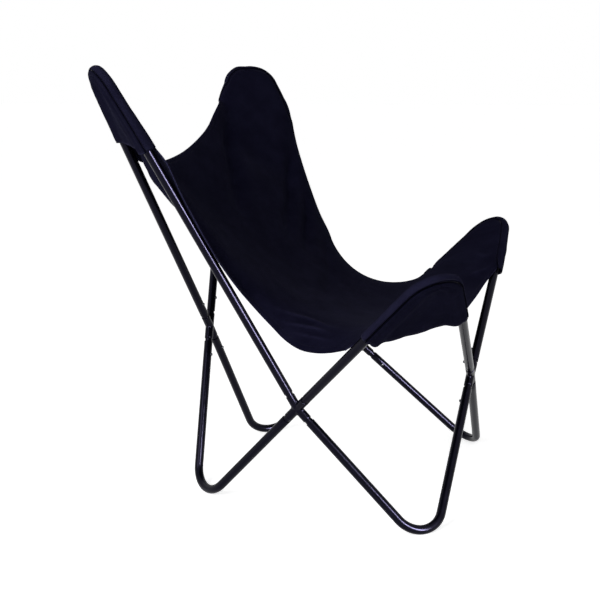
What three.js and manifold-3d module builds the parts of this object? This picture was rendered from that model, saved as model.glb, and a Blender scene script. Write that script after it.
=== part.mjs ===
// Butterfly sling chair: bent tube bows plugged onto four welded cross connectors, and a canvas
// sling hung in four corner pockets. Millimetres, +Z up, the front faces -Y, the sitter's right
// is -X, and the floor is z = 0.
import * as THREE from "three";
import { mergeVertices } from "three/addons/utils/BufferGeometryUtils.js";
import Module from "manifold-3d";

const wasm = await Module();
wasm.setup();

// Frame layout: the crossings, the tips of the upper bows and the corners of the feet
const sideCrossOut = 271;
const sideCrossHeight = 230;
const frontCrossForward = 311;
const frontCrossHeight = 253;
const rearCrossBack = 299;
const rearCrossHeight = 321;
const rearTipOut = 402;
const rearTipBack = 352;
const rearTipHeight = 901;
const frontTipOut = 406;
const frontTipForward = 306;
const frontTipHeight = 534;
const rearFootOut = 218;
const rearFootBack = 253;
const frontFootOut = 317;
const frontFootForward = 290;

// Tube and its bends, measured on the centre line
const tubeDiameter = 19;
const tubeWall = 1.2;
const rearTipBend = 50;
const frontTipBend = 52;
const rearFootBend = 61;
const frontFootBend = 55;
const footFlat = 1.1;

// Cross connector stubs
const stubClearance = 0.4;
const stubWall = 1.5;
const rimPlace = 38;
const neckLength = 7;
const neckBevel = 1.5;
const insertDepth = 45;
const boreBottom = 24;
const weldRadius = 5;
const weldSink = 2.6;

// Snap buttons and their leaf springs
const buttonSetback = 32;
const buttonDiameter = 6;
const buttonProud = 2.8;
const buttonCrown = 0.9;
const buttonHoleClearance = 0.4;
const flangeOverhang = 1;
const flangeThickness = 1;
const flangeClearance = 0.35;
const leafWidth = 6;
const leafThickness = 0.6;
const leafGap = 0.3;
const leafReach = 8;
const leafHeel = 24;
const leafRise = 5;

// Canvas sling
const clothThickness = 1.2;
const clothGap = 0.6;
const rearPocketSideLeg = 124;
const rearPocketRearLegRight = 125;
const rearPocketRearLegLeft = 56;
const frontPocketSideLeg = 140;
const frontPocketFrontLeg = 135;
const snugSlack = 1.5;
const rearLegSlack = 12;
const sideLegSlackRight = 12;
const sideLegSlackLeft = 31;
const sideLegBulgeLeft = 6;
const tipSlackLeft = 3;
const frontSlackLeft = 8;
const flapDip = 1;
const flapDroop = 10;
const hemWidth = 13;
const hemThickness = 1;
const hemGap = 0.35;
const seatSag = 125;
const swellWidth = 45;
const swellDepthRight = 38;
const swellDepthLeft = 14;

// Free edges of the sling beside a leg: the share of the leg's length from its bend's virtual
// corner, then how far out of the bow and how far towards the sitter, as shares of the tube
const rearLegHemShares = [
  [0.449, 1.05, 0.66], [0.535, 1.05, 0.66], [0.62, 1, 0.66], [0.68, 1.1, 0.79],
];
const frontLegHemShares = [[0.56, 0.95, 0.84], [0.49, 0.5, 0.74]];

// Other free edges, as shares of the width, depth and height of the front or the rear tips
const lowHemShares = [
  [0.747, -0.255, 0.82], [0.735, -0.15, 0.755], [0.73, -0.05, 0.7], [0.731, 0.05, 0.672],
  [0.739, 0.15, 0.669], [0.753, 0.25, 0.676], [0.781, 0.37, 0.696],
];
const rearHemShares = [
  [-0.585, 1.017, 0.806], [-0.46, 1.002, 0.793], [-0.308, 0.989, 0.79], [-0.05, 0.98, 0.804],
  [0.201, 0.98, 0.835], [0.361, 0.994, 0.86], [0.485, 1.009, 0.889], [0.627, 1.034, 0.915],
];
const frontHemShares = [
  [-0.468, 1.023, 0.79], [-0.246, 0.997, 0.764], [0, 0.98, 0.751], [0.246, 0.997, 0.764],
  [0.468, 1.023, 0.79],
];

// Where the panel swells away from the sitter behind a rear pocket: from its rear hem to its side
// hem, as shares of the panel down from the rear edge and over from the side edge
const swellFromShares = [0, 0.33];
const swellToShares = [0.4, 0];

// Finish
const steelColour = 0x121217;
const steelRoughness = 0.38;
const steelMetalness = 0.35;
const buttonColour = 0x6f7175;
const buttonRoughness = 0.35;
const buttonMetalness = 0.9;
const clothColour = 0x14142a;
const clothRoughness = 0.92;

// Counts
const tubeSides = 12;
const holeSides = 8;
const bendSteps = 8;
const legSteps = 3;
const wrapSteps = 6;
const flapSteps = 6;
const panelCells = 20;
const hemSamples = 12;
const solveRounds = 60;

// Worked out from the sizes above
const tubeRadius = tubeDiameter / 2;
const tubeBore = tubeRadius - tubeWall;
const stubRadius = tubeBore - stubClearance;
const stubBore = stubRadius - stubWall;
const stubTip = rimPlace + insertDepth;
const buttonPlace = rimPlace + buttonSetback;
const buttonRadius = buttonDiameter / 2;
const flangeRadius = buttonRadius + flangeOverhang;
const boreFlat = stubBore * Math.cos(Math.PI / holeSides);
const flangeTop = Math.sqrt(boreFlat ** 2 - flangeRadius ** 2) - flangeClearance;
const flangeBottom = flangeTop - flangeThickness;
const wrapRadius = tubeRadius + clothGap + clothThickness / 2;
const relaxRounds = 2 * panelCells ** 2;

// The cloth wraps a tube by this much to each side, and the panel and the flap start a little on
const wrapAngle = THREE.MathUtils.degToRad(95);
const edgeAngle = THREE.MathUtils.degToRad(101);

// How much the panel's lines crowd towards its corners, how far a unit pull lowers its middle, how
// much of it next to an edge keeps out of a swell, and how fast a slack builds up round a tip
const crowdShare = 0.3;
const sagShare = 0.295;
const heldShare = 0.07;
const slackPower = 1.5;

const vec = (x, y, z) => new THREE.Vector3(x, y, z);
const mix = (a, b, share) => a.clone().lerp(b, share);

const sides = { right: -1, left: 1 };

// The four crossings, where four bow ends meet
const crossings = {
  right: vec(-sideCrossOut, 0, sideCrossHeight),
  left: vec(sideCrossOut, 0, sideCrossHeight),
  front: vec(0, -frontCrossForward, frontCrossHeight),
  rear: vec(0, rearCrossBack, rearCrossHeight),
};

// A bend's plane and half angle, seen from the virtual corner where its two legs would meet
function bendFrame(corner, ends, radius) {
  const legs = ends.map((end) => end.clone().sub(corner).normalize());
  const inward = legs[0].clone().add(legs[1]).normalize();
  const half = legs[0].angleTo(legs[1]) / 2;
  const reach = radius / Math.sin(half);
  return { legs, inward, half, reach, tangent: radius / Math.tan(half) };
}

// The virtual corner of an upper bow whose rounded tip lies at a given place
function cornerOverTip(tip, ends, radius) {
  const corner = tip.clone();
  for (let round = 0; round < solveRounds; round += 1) {
    const { inward, reach } = bendFrame(corner, ends, radius);
    corner.copy(tip).addScaledVector(inward, radius - reach);
  }
  return corner;
}

// The virtual corner of a lower bow whose round foot just meets the floor, less its worn flat
function cornerOverFloor(out, along, ends, radius) {
  const corner = vec(out, along, 0);
  for (let round = 0; round < solveRounds; round += 1) {
    const { legs, inward, reach } = bendFrame(corner, ends, radius);
    const normal = legs[0].clone().cross(legs[1]).normalize();
    const down = Math.sqrt(1 - normal.z ** 2);
    const lowest = corner.z + inward.z * reach - radius * down;
    corner.z += tubeRadius - footFlat - lowest;
  }
  return corner;
}

// A bow: two straight legs from its crossings to one bend
function makeBow(name, corner, ends, radius) {
  const frame = bendFrame(corner, ends, radius);
  const centre = corner.clone().addScaledVector(frame.inward, frame.reach);
  const turn = Math.PI / 2 - frame.half;
  const across = frame.legs[0].clone().addScaledVector(frame.inward, -Math.cos(frame.half)).normalize();
  const bendPoint = (angle) => {
    const outward = frame.inward.clone().multiplyScalar(-Math.cos(angle));
    outward.addScaledVector(across, Math.sin(angle));
    const tangent = frame.inward.clone().multiplyScalar(-Math.sin(angle));
    tangent.addScaledVector(across, -Math.cos(angle));
    return { centre: centre.clone().addScaledVector(outward, radius), outward, tangent };
  };
  return { name, corner, ends, radius, turn, bendPoint, ...frame };
}

const bows = {};
for (const [side, sign] of Object.entries(sides)) {
  const rearEnds = [crossings[side], crossings.rear];
  const frontEnds = [crossings[side], crossings.front];
  const rearTip = vec(sign * rearTipOut, rearTipBack, rearTipHeight);
  const frontTip = vec(sign * frontTipOut, -frontTipForward, frontTipHeight);
  const rearFoot = cornerOverFloor(sign * rearFootOut, rearFootBack, rearEnds, rearFootBend);
  const frontFoot = cornerOverFloor(sign * frontFootOut, -frontFootForward, frontEnds, frontFootBend);
  const plans = [
    [`upper_bow_rear_${side}`, cornerOverTip(rearTip, rearEnds, rearTipBend), rearEnds, rearTipBend],
    [`upper_bow_front_${side}`, cornerOverTip(frontTip, frontEnds, frontTipBend), frontEnds, frontTipBend],
    [`lower_bow_rear_${side}`, rearFoot, rearEnds, rearFootBend],
    [`lower_bow_front_${side}`, frontFoot, frontEnds, frontFootBend],
  ];
  for (const plan of plans) bows[plan[0]] = makeBow(...plan);
}

// Solids for cutting and joining, and back to a geometry for a mesh
function toSolid(geometry) {
  const bare = geometry.clone();
  bare.deleteAttribute("normal");
  bare.deleteAttribute("uv");
  const merged = mergeVertices(bare);
  return new wasm.Manifold(new wasm.Mesh({
    numProp: 3,
    vertProperties: Float32Array.from(merged.attributes.position.array),
    triVerts: Uint32Array.from(merged.index.array),
  }));
}

function toGeometry(solid) {
  const mesh = solid.getMesh();
  const geometry = new THREE.BufferGeometry();
  geometry.setAttribute("position", new THREE.BufferAttribute(Float32Array.from(mesh.vertProperties), 3));
  geometry.setIndex(new THREE.BufferAttribute(Uint32Array.from(mesh.triVerts), 1));
  geometry.computeVertexNormals();
  return geometry;
}

// Turns a shape made along +Y so that it runs along an arm, with its +X towards a given side
function placeAlong(geometry, origin, direction, facing) {
  const third = facing.clone().cross(direction);
  geometry.applyMatrix4(new THREE.Matrix4().makeBasis(facing, direction, third));
  geometry.translate(origin.x, origin.y, origin.z);
  return geometry;
}

// The side of an arm that looks into the chair, where its snap button sits
function facingInside(crossing, direction) {
  const inside = vec(-crossing.x, -crossing.y, 0).normalize();
  return inside.addScaledVector(direction, -inside.dot(direction)).normalize();
}

// The four arms of a crossing, one to each bow end that plugs onto it
function armsOf(crossing) {
  const arms = [];
  for (const bow of Object.values(bows)) {
    bow.ends.forEach((end, index) => {
      if (end !== crossing) return;
      const direction = bow.corner.clone().sub(crossing).normalize();
      const place = index === 0 ? "side" : "middle";
      const facing = facingInside(crossing, direction);
      arms.push({ bow: bow.name, place, direction, facing, crossing });
    });
  }
  return arms;
}

const arms = Object.values(crossings).flatMap(armsOf);

function cylinderAlong(radius, from, to, segments, origin, direction, facing) {
  const profile = [[0, from], [radius, from], [radius, to], [0, to]];
  const lathe = new THREE.LatheGeometry(profile.map(([r, y]) => new THREE.Vector2(r, y)), segments);
  return toSolid(placeAlong(lathe, origin, direction, facing));
}

// The round hole that a snap button passes through, square to its arm
function buttonHole(arm) {
  const place = arm.crossing.clone().addScaledVector(arm.direction, buttonPlace);
  const radius = (buttonRadius + buttonHoleClearance) / Math.cos(Math.PI / holeSides);
  return cylinderAlong(radius, 0, tubeDiameter, holeSides, place, arm.facing, arm.direction);
}

function cross(crossing) {
  const own = arms.filter((arm) => arm.crossing === crossing);
  const profile = [
    [0, 0], [tubeRadius, 0], [tubeRadius, rimPlace - neckLength],
    [stubRadius, rimPlace - neckLength + neckBevel], [stubRadius, stubTip], [0, stubTip],
  ].map(([r, y]) => new THREE.Vector2(r, y));
  let body = null;
  for (const arm of own) {
    const lathe = new THREE.LatheGeometry(profile, tubeSides);
    const stub = toSolid(placeAlong(lathe, crossing, arm.direction, arm.facing));
    body = body ? body.add(stub) : stub;
  }
  body = body.add(toSolid(new THREE.IcosahedronGeometry(tubeRadius, 1).translate(...crossing.toArray())));
  for (let first = 0; first < own.length; first += 1) {
    for (let second = first + 1; second < own.length; second += 1) {
      const between = own[first].direction.clone().add(own[second].direction);
      const half = own[first].direction.angleTo(own[second].direction) / 2;
      if (half > Math.PI / 3) continue;
      between.normalize().multiplyScalar(tubeRadius / Math.sin(half) - weldSink).add(crossing);
      body = body.add(toSolid(new THREE.IcosahedronGeometry(weldRadius, 1).translate(...between.toArray())));
    }
  }
  for (const { direction, facing } of own) {
    const past = stubTip + insertDepth;
    body = body.subtract(cylinderAlong(stubBore, boreBottom, past, holeSides, crossing, direction, facing));
  }
  for (const arm of own) body = body.subtract(buttonHole(arm));
  return toGeometry(body);
}

// A curve through a bow's stations: each straight leg is one step and the bend is sampled evenly
class BowLine extends THREE.Curve {
  constructor(stations) {
    super();
    this.stations = stations;
  }

  getPoint(share) {
    return this.stations[Math.round(share * (this.stations.length - 1))].centre.clone();
  }

  getPointAt(share) {
    return this.getPoint(share);
  }

  getTangentAt(share) {
    return this.stations[Math.round(share * (this.stations.length - 1))].tangent.clone();
  }
}

function bowStations(bow) {
  const stations = [];
  const legEnd = (index, sign) => ({
    centre: bow.ends[index].clone().addScaledVector(bow.legs[index], -rimPlace),
    tangent: bow.legs[index].clone().multiplyScalar(sign),
  });
  stations.push(legEnd(0, -1));
  for (let step = 0; step <= bendSteps; step += 1) {
    stations.push(bow.bendPoint(bow.turn - (2 * bow.turn * step) / bendSteps));
  }
  stations.push(legEnd(1, 1));
  return stations;
}

function tube(bow) {
  const stations = bowStations(bow);
  const section = new THREE.Shape().absarc(0, 0, tubeRadius, 0, 2 * Math.PI);
  section.holes.push(new THREE.Path().absarc(0, 0, tubeBore, 0, 2 * Math.PI));
  const extruded = new THREE.ExtrudeGeometry(section, {
    steps: stations.length - 1, curveSegments: tubeSides / 2, extrudePath: new BowLine(stations),
  });
  let body = toSolid(extruded);
  for (const arm of arms.filter((one) => one.bow === bow.name)) body = body.subtract(buttonHole(arm));
  if (bow.name.startsWith("lower")) {
    const size = bow.radius * 4;
    const below = new THREE.BoxGeometry(size, size, tubeDiameter);
    below.translate(bow.corner.x, bow.corner.y, -tubeDiameter / 2);
    body = body.subtract(toSolid(below));
  }
  return toGeometry(body);
}

// A snap button: a crowned stud with a flange that stays inside the stub
function snapButton(arm) {
  const top = tubeRadius + buttonProud;
  const profile = [
    [0, flangeBottom], [flangeRadius, flangeBottom], [flangeRadius, flangeTop], [buttonRadius, flangeTop],
    [buttonRadius, top - buttonCrown], [buttonRadius - buttonCrown, top], [0, top],
  ].map(([r, y]) => new THREE.Vector2(r, y));
  const place = arm.crossing.clone().addScaledVector(arm.direction, buttonPlace);
  return placeAlong(new THREE.LatheGeometry(profile, holeSides), place, arm.facing, arm.direction);
}

// The folded leaf spring behind a snap button, drawn along the arm and given its width
function leafClip(arm) {
  const high = flangeBottom - leafGap;
  const floor = -Math.sqrt(boreFlat ** 2 - (leafWidth / 2) ** 2) + leafGap;
  const heel = buttonPlace - leafHeel;
  const tip = buttonPlace + leafReach;
  const rise = buttonPlace - flangeRadius - leafRise;
  const knee = buttonPlace - flangeRadius;
  const outline = new THREE.Shape([
    [tip, floor], [tip, floor + leafThickness], [heel + leafRise / 2, floor + leafThickness],
    [heel + leafThickness, floor + 2 * leafThickness], [rise, high - 2 * leafThickness],
    [knee, high - leafThickness], [tip, high - leafThickness], [tip, high], [knee - leafThickness, high],
    [rise - leafThickness, high - leafThickness], [heel, floor + 2 * leafThickness],
    [heel, floor + leafThickness], [heel + leafThickness, floor],
  ].map(([x, y]) => new THREE.Vector2(y, x)));
  const leaf = new THREE.ExtrudeGeometry(outline, { depth: leafWidth, bevelEnabled: false });
  leaf.translate(0, 0, -leafWidth / 2);
  return placeAlong(leaf, arm.crossing, arm.direction, arm.facing);
}

// The normal of an upper bow's plane on the sitter's side
function sitterSide(bow) {
  const normal = bow.legs[0].clone().cross(bow.legs[1]).normalize();
  return normal.z < 0 ? normal.negate() : normal;
}

// The stations of a pocket round the tip of an upper bow, from the mouth on its side leg to the
// mouth on its other leg. The cloth stands off the tube by a slack, given for each leg at the tip,
// at the end of the bend and at the mouth, with a bulge between the last two.
function pocketStations(bow, depths, slack) {
  const normal = sitterSide(bow);
  const along = (index, share) => {
    const { outward } = bow.bendPoint(index === 0 ? bow.turn : -bow.turn);
    const centre = bow.corner.clone().addScaledVector(bow.legs[index], bow.tangent + depths[index] * share);
    const [, atBend, atMouth, bulge] = slack[index];
    const standOff = THREE.MathUtils.lerp(atBend, atMouth, Math.sin((Math.PI / 2) * share));
    centre.addScaledVector(outward, standOff + bulge * Math.sin(Math.PI * share));
    return { centre, outward, normal };
  };
  const stations = [];
  for (let step = legSteps; step > 0; step -= 1) stations.push(along(0, step / legSteps));
  for (let step = 0; step <= bendSteps; step += 1) {
    const { centre, outward } = bow.bendPoint(bow.turn - (2 * bow.turn * step) / bendSteps);
    const fromTip = Math.abs(1 - (2 * step) / bendSteps);
    const [atTip, atBend] = slack[2 * step < bendSteps ? 0 : 1];
    const spread = Math.sin((Math.PI / 2) * fromTip) ** slackPower;
    centre.addScaledVector(outward, THREE.MathUtils.lerp(atTip, atBend, spread));
    stations.push({ centre, outward, normal });
  }
  for (let step = 1; step <= legSteps; step += 1) stations.push(along(1, step / legSteps));
  return stations;
}

function onWrap(station, angle) {
  const point = station.centre.clone().addScaledVector(station.outward, wrapRadius * Math.cos(angle));
  return point.addScaledVector(station.normal, wrapRadius * Math.sin(angle));
}

const rearSize = [rearTipOut, rearTipBack, rearTipHeight];
const frontSize = [frontTipOut, -frontTipForward, frontTipHeight];
const placeOf = ([out, along, up], size, sign) => vec(sign * out * size[0], along * size[1], up * size[2]);

const rearDepths = {
  right: [rearPocketSideLeg, rearPocketRearLegRight],
  left: [rearPocketSideLeg, rearPocketRearLegLeft],
};
const frontDepths = [frontPocketSideLeg, frontPocketFrontLeg];
const slacks = {
  rear_right: [[0, 0, sideLegSlackRight, 0], [0, 0, rearLegSlack, 0]],
  rear_left: [
    [tipSlackLeft, sideLegSlackLeft, sideLegSlackLeft, sideLegBulgeLeft],
    [tipSlackLeft, 0, rearLegSlack, 0],
  ],
  front_right: [[0, 0, snugSlack, 0], [0, 0, snugSlack, 0]],
  front_left: [[0, 0, frontSlackLeft, 0], [0, 0, frontSlackLeft, 0]],
};
const pockets = {};
for (const side of Object.keys(sides)) {
  const rearBow = bows[`upper_bow_rear_${side}`];
  const frontBow = bows[`upper_bow_front_${side}`];
  pockets[`rear_${side}`] = pocketStations(rearBow, rearDepths[side], slacks[`rear_${side}`]);
  pockets[`front_${side}`] = pocketStations(frontBow, frontDepths, slacks[`front_${side}`]);
}

// The normals of a grid of points on its first side
function gridNormals(grid) {
  const last = grid.length - 1;
  return grid.map((row, i) => row.map((point, j) => {
    const down = grid[Math.min(i + 1, last)][j].clone().sub(grid[Math.max(i - 1, 0)][j]);
    const over = row[Math.min(j + 1, row.length - 1)].clone().sub(row[Math.max(j - 1, 0)]);
    return down.cross(over).normalize();
  }));
}

// A grid of points made a closed sheet of even thickness
function clothSheet(grid, thickness) {
  const rows = grid.length;
  const columns = grid[0].length;
  const normals = gridNormals(grid);
  const positions = [];
  for (const half of [thickness / 2, -thickness / 2]) {
    grid.forEach((row, i) => row.forEach((point, j) => {
      positions.push(...point.clone().addScaledVector(normals[i][j], half).toArray());
    }));
  }
  const at = (layer, i, j) => (layer * rows + i) * columns + j;
  const index = [];
  const quad = (a, b, c, d) => index.push(a, b, c, a, c, d);
  for (let i = 0; i < rows - 1; i += 1) {
    for (let j = 0; j < columns - 1; j += 1) {
      quad(at(0, i, j), at(0, i + 1, j), at(0, i + 1, j + 1), at(0, i, j + 1));
      index.push(at(1, i, j), at(1, i + 1, j + 1), at(1, i + 1, j));
      index.push(at(1, i, j), at(1, i, j + 1), at(1, i + 1, j + 1));
    }
  }
  for (let j = 0; j < columns - 1; j += 1) {
    quad(at(0, 0, j), at(0, 0, j + 1), at(1, 0, j + 1), at(1, 0, j));
    quad(at(0, rows - 1, j + 1), at(0, rows - 1, j), at(1, rows - 1, j), at(1, rows - 1, j + 1));
  }
  for (let i = 0; i < rows - 1; i += 1) {
    quad(at(0, i + 1, 0), at(0, i, 0), at(1, i, 0), at(1, i + 1, 0));
    quad(at(0, i, columns - 1), at(0, i + 1, columns - 1), at(1, i + 1, columns - 1), at(1, i, columns - 1));
  }
  const geometry = new THREE.BufferGeometry();
  geometry.setAttribute("position", new THREE.Float32BufferAttribute(positions, 3));
  geometry.setIndex(index);
  geometry.computeVertexNormals();
  return geometry;
}

// The band that wraps over the tube from the panel's edge to the flap's edge
function cornerBand(stations, sign) {
  return clothSheet(stations.map((station) => {
    const row = [];
    for (let step = 0; step <= wrapSteps; step += 1) {
      row.push(onWrap(station, sign * wrapAngle * (1 - (2 * step) / wrapSteps)));
    }
    return row;
  }), clothThickness);
}

// The outer flap of a pocket: rungs from leg to leg, dipping between them, with a drooping mouth
function pocketFlap(stations, sign) {
  const last = stations.length - 1;
  const rungs = [];
  for (let rung = last / 2 - 1; rung >= 0; rung -= 1) {
    const from = stations[rung];
    const to = stations[last - rung];
    const ends = [onWrap(from, -edgeAngle), onWrap(to, -edgeAngle)];
    const depth = 1 - (2 * rung) / last;
    const row = [];
    for (let step = 0; step <= flapSteps; step += 1) {
      const share = sign > 0 ? step / flapSteps : 1 - step / flapSteps;
      const bulge = Math.sin(Math.PI * share);
      const point = mix(ends[0], ends[1], share).addScaledVector(from.normal, flapDip * depth * bulge ** 5);
      if (rung === 0) {
        const down = mix(from.outward, to.outward, 1 / 2).normalize();
        point.addScaledVector(down, -flapDroop * bulge);
      }
      row.push(point);
    }
    rungs.push(row);
  }
  return clothSheet(rungs, clothThickness);
}

// Where a free edge lies beside the side leg of an upper bow
function besideLeg(bow, [away, out, up]) {
  const { outward } = bow.bendPoint(bow.turn);
  const point = mix(bow.corner, bow.ends[0], away).addScaledVector(outward, out * tubeDiameter);
  return point.addScaledVector(sitterSide(bow), up * tubeDiameter);
}

// One edge of the panel: half of a pocket, the free hem, and half of the next pocket
function panelEdge(first, hem, second) {
  const smooth = new THREE.CatmullRomCurve3([first.at(-1), ...hem, second[0]], false, "centripetal");
  const free = smooth.getPoints(hem.length * hemSamples);
  const line = [...first.slice(0, -1), ...free, ...second.slice(1)];
  const lengths = [0];
  for (let i = 1; i < line.length; i += 1) lengths.push(lengths[i - 1] + line[i].distanceTo(line[i - 1]));
  const total = lengths.at(-1);
  const start = lengths[first.length - 1] / total;
  const end = lengths[line.length - second.length] / total;
  const shares = [];
  for (let cell = 0; cell <= panelCells; cell += 1) {
    const even = cell / panelCells;
    shares.push(even - (crowdShare * Math.sin(2 * Math.PI * even)) / (2 * Math.PI));
  }
  for (const mouth of [start, end]) {
    const gaps = shares.map((share) => Math.abs(share - mouth));
    shares[gaps.indexOf(Math.min(...gaps))] = mouth;
  }
  const points = shares.map((share) => {
    const wanted = share * total;
    let i = 1;
    while (i < lengths.length - 1 && lengths[i] < wanted) i += 1;
    return mix(line[i - 1], line[i], (wanted - lengths[i - 1]) / (lengths[i] - lengths[i - 1]));
  });
  return { points, shares, start, end };
}

// The panel's edge inside a pocket, from the tip out to the mouth on one leg
function tipToMouth(name, leg) {
  const middle = (pockets[name].length - 1) / 2;
  const half = leg === 0 ? pockets[name].slice(0, middle + 1).reverse() : pockets[name].slice(middle);
  return half.map((station) => onWrap(station, edgeAngle));
}

function sideHem(side) {
  const rear = bows[`upper_bow_rear_${side}`];
  const front = bows[`upper_bow_front_${side}`];
  return [
    ...rearLegHemShares.map((shares) => besideLeg(rear, shares)),
    ...lowHemShares.map((shares) => placeOf(shares, frontSize, sides[side])),
    ...frontLegHemShares.map((shares) => besideLeg(front, shares)),
  ];
}

const rearHem = rearHemShares.map((shares) => placeOf(shares, rearSize, 1));
const frontHem = frontHemShares.map((shares) => placeOf(shares, frontSize, 1));
const edgeBetween = (first, hem, second, leg) => (
  panelEdge(tipToMouth(first, leg), hem, tipToMouth(second, leg).reverse()));
const edges = {
  side_right: edgeBetween("rear_right", sideHem("right"), "front_right", 0),
  side_left: edgeBetween("rear_left", sideHem("left"), "front_left", 0),
  rear: edgeBetween("rear_right", rearHem, "rear_left", 1),
  front: edgeBetween("front_right", frontHem, "front_left", 1),
};

// The hanging panel: its edges are held, and each inner point settles among its neighbours
function hangPanel() {
  const last = panelCells;
  const grid = edges.side_right.points.map((from, i) => {
    const to = edges.side_left.points[i];
    return edges.rear.points.map((point, j) => mix(from, to, j / last));
  });
  grid[0] = edges.rear.points.map((point) => point.clone());
  grid[last] = edges.front.points.map((point) => point.clone());
  const pull = seatSag / (sagShare * last * last);
  for (let round = 0; round < relaxRounds; round += 1) {
    for (let i = 1; i < last; i += 1) {
      for (let j = 1; j < last; j += 1) {
        const sum = grid[i - 1][j].clone().add(grid[i + 1][j]).add(grid[i][j - 1]).add(grid[i][j + 1]);
        grid[i][j].copy(sum.multiplyScalar(1 / 4));
        grid[i][j].z -= pull;
      }
    }
  }
  return grid;
}

// Presses a soft valley into the panel behind a rear pocket, from the rear hem to the side hem
function pressSwell(grid, depth, fromLeft) {
  const last = panelCells;
  const normals = gridNormals(grid);
  const pointAt = ([down, over]) => {
    const row = grid[Math.round(down * last)];
    const column = (fromLeft ? 1 - over : over) * last;
    return mix(row[Math.floor(column)], row[Math.ceil(column)], column % 1);
  };
  const from = pointAt(swellFromShares);
  const span = pointAt(swellToShares).sub(from);
  const free = (index) => Math.min(Math.min(index, last - index) / (heldShare * last), 1);
  grid.forEach((row, i) => row.forEach((point, j) => {
    const offset = point.clone().sub(from);
    const along = THREE.MathUtils.clamp(offset.dot(span) / span.lengthSq(), 0, 1);
    const away = offset.addScaledVector(span, -along).length() / swellWidth;
    const press = depth * Math.sqrt(Math.sin(Math.PI * along)) * Math.exp(-(away ** 2));
    point.addScaledVector(normals[i][j], -press * free(i) * free(j));
  }));
}

// Adds a line of points one hem's width inside each edge, so that the hem bands follow the panel
function addHemLines(grid) {
  const inset = (edge, next) => mix(edge, next, Math.min(hemWidth / edge.distanceTo(next), 1 / 2));
  const wide = grid.map((row) => [
    row[0], inset(row[0], row[1]), ...row.slice(1, -1), inset(row.at(-1), row.at(-2)), row.at(-1),
  ]);
  const line = (from, to) => wide.at(from).map((point, j) => inset(point, wide.at(to)[j]));
  return [wide[0], line(0, 1), ...wide.slice(1, -1), line(-1, -2), wide.at(-1)];
}

const hungGrid = hangPanel();
pressSwell(hungGrid, swellDepthRight, false);
pressSwell(hungGrid, swellDepthLeft, true);
const panelGrid = addHemLines(hungGrid);

// Points under the panel, where a hem band's middle lies
const panelNormals = gridNormals(panelGrid);
const hemDrop = clothThickness / 2 + hemGap + hemThickness / 2;
const hemPoint = (i, j) => panelGrid[i][j].clone().addScaledVector(panelNormals[i][j], -hemDrop);

// The rows of a hem band under the free part of one edge
function hemBand(edge, pick) {
  const rows = [];
  edge.shares.forEach((share, cell) => {
    if (share > edge.start && share < edge.end) rows.push([pick(cell + 1, 0), pick(cell + 1, 1)]);
  });
  return rows;
}

const group = new THREE.Group();

function addMesh(name, geometry, color, roughness, metalness) {
  const material = new THREE.MeshStandardMaterial({ color, roughness, metalness });
  const mesh = new THREE.Mesh(geometry, material);
  mesh.name = name;
  group.add(mesh);
}

for (const [place, crossing] of Object.entries(crossings)) {
  addMesh(`cross_${place}`, cross(crossing), steelColour, steelRoughness, steelMetalness);
}
for (const bow of Object.values(bows)) {
  addMesh(bow.name, tube(bow), steelColour, steelRoughness, steelMetalness);
}
for (const arm of arms) {
  const ending = `${arm.bow.replace("_bow", "")}_${arm.place}`;
  addMesh(`button_${ending}`, snapButton(arm), buttonColour, buttonRoughness, buttonMetalness);
  addMesh(`clip_${ending}`, leafClip(arm), buttonColour, buttonRoughness, buttonMetalness);
}
addMesh("sling_panel", clothSheet(panelGrid, clothThickness), clothColour, clothRoughness, 0);
for (const [corner, stations] of Object.entries(pockets)) {
  const sign = corner.endsWith("left") === corner.startsWith("rear") ? 1 : -1;
  addMesh(`corner_band_${corner}`, cornerBand(stations, sign), clothColour, clothRoughness, 0);
  addMesh(`pocket_flap_${corner}`, pocketFlap(stations, sign), clothColour, clothRoughness, 0);
}
const inner = panelGrid.length - 2;
const hemPicks = {
  side_right: (cell, step) => hemPoint(cell, step),
  side_left: (cell, step) => hemPoint(cell, inner + step),
  rear: (cell, step) => hemPoint(step, cell),
  front: (cell, step) => hemPoint(inner + step, cell),
};
for (const [place, edge] of Object.entries(edges)) {
  const band = clothSheet(hemBand(edge, hemPicks[place]), hemThickness);
  addMesh(`hem_${place}`, band, clothColour, clothRoughness, 0);
}

// The origin stands under the middle of the part, on the floor
const middle = new THREE.Box3().setFromObject(group).getCenter(new THREE.Vector3());
group.position.set(-middle.x, -middle.y, 0);

export default group;
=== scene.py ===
"""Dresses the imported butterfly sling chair: smooth bent tubes, welded crosses with snap buttons,
and a canvas sling with its pockets, seams, hems, folds and stitches. Metres, +Z up."""

import itertools
import math

import bmesh
import bpy
import numpy as np
from bpy.props import FloatProperty, FloatVectorProperty, PointerProperty
from mathutils import Matrix, Vector, noise


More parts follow.
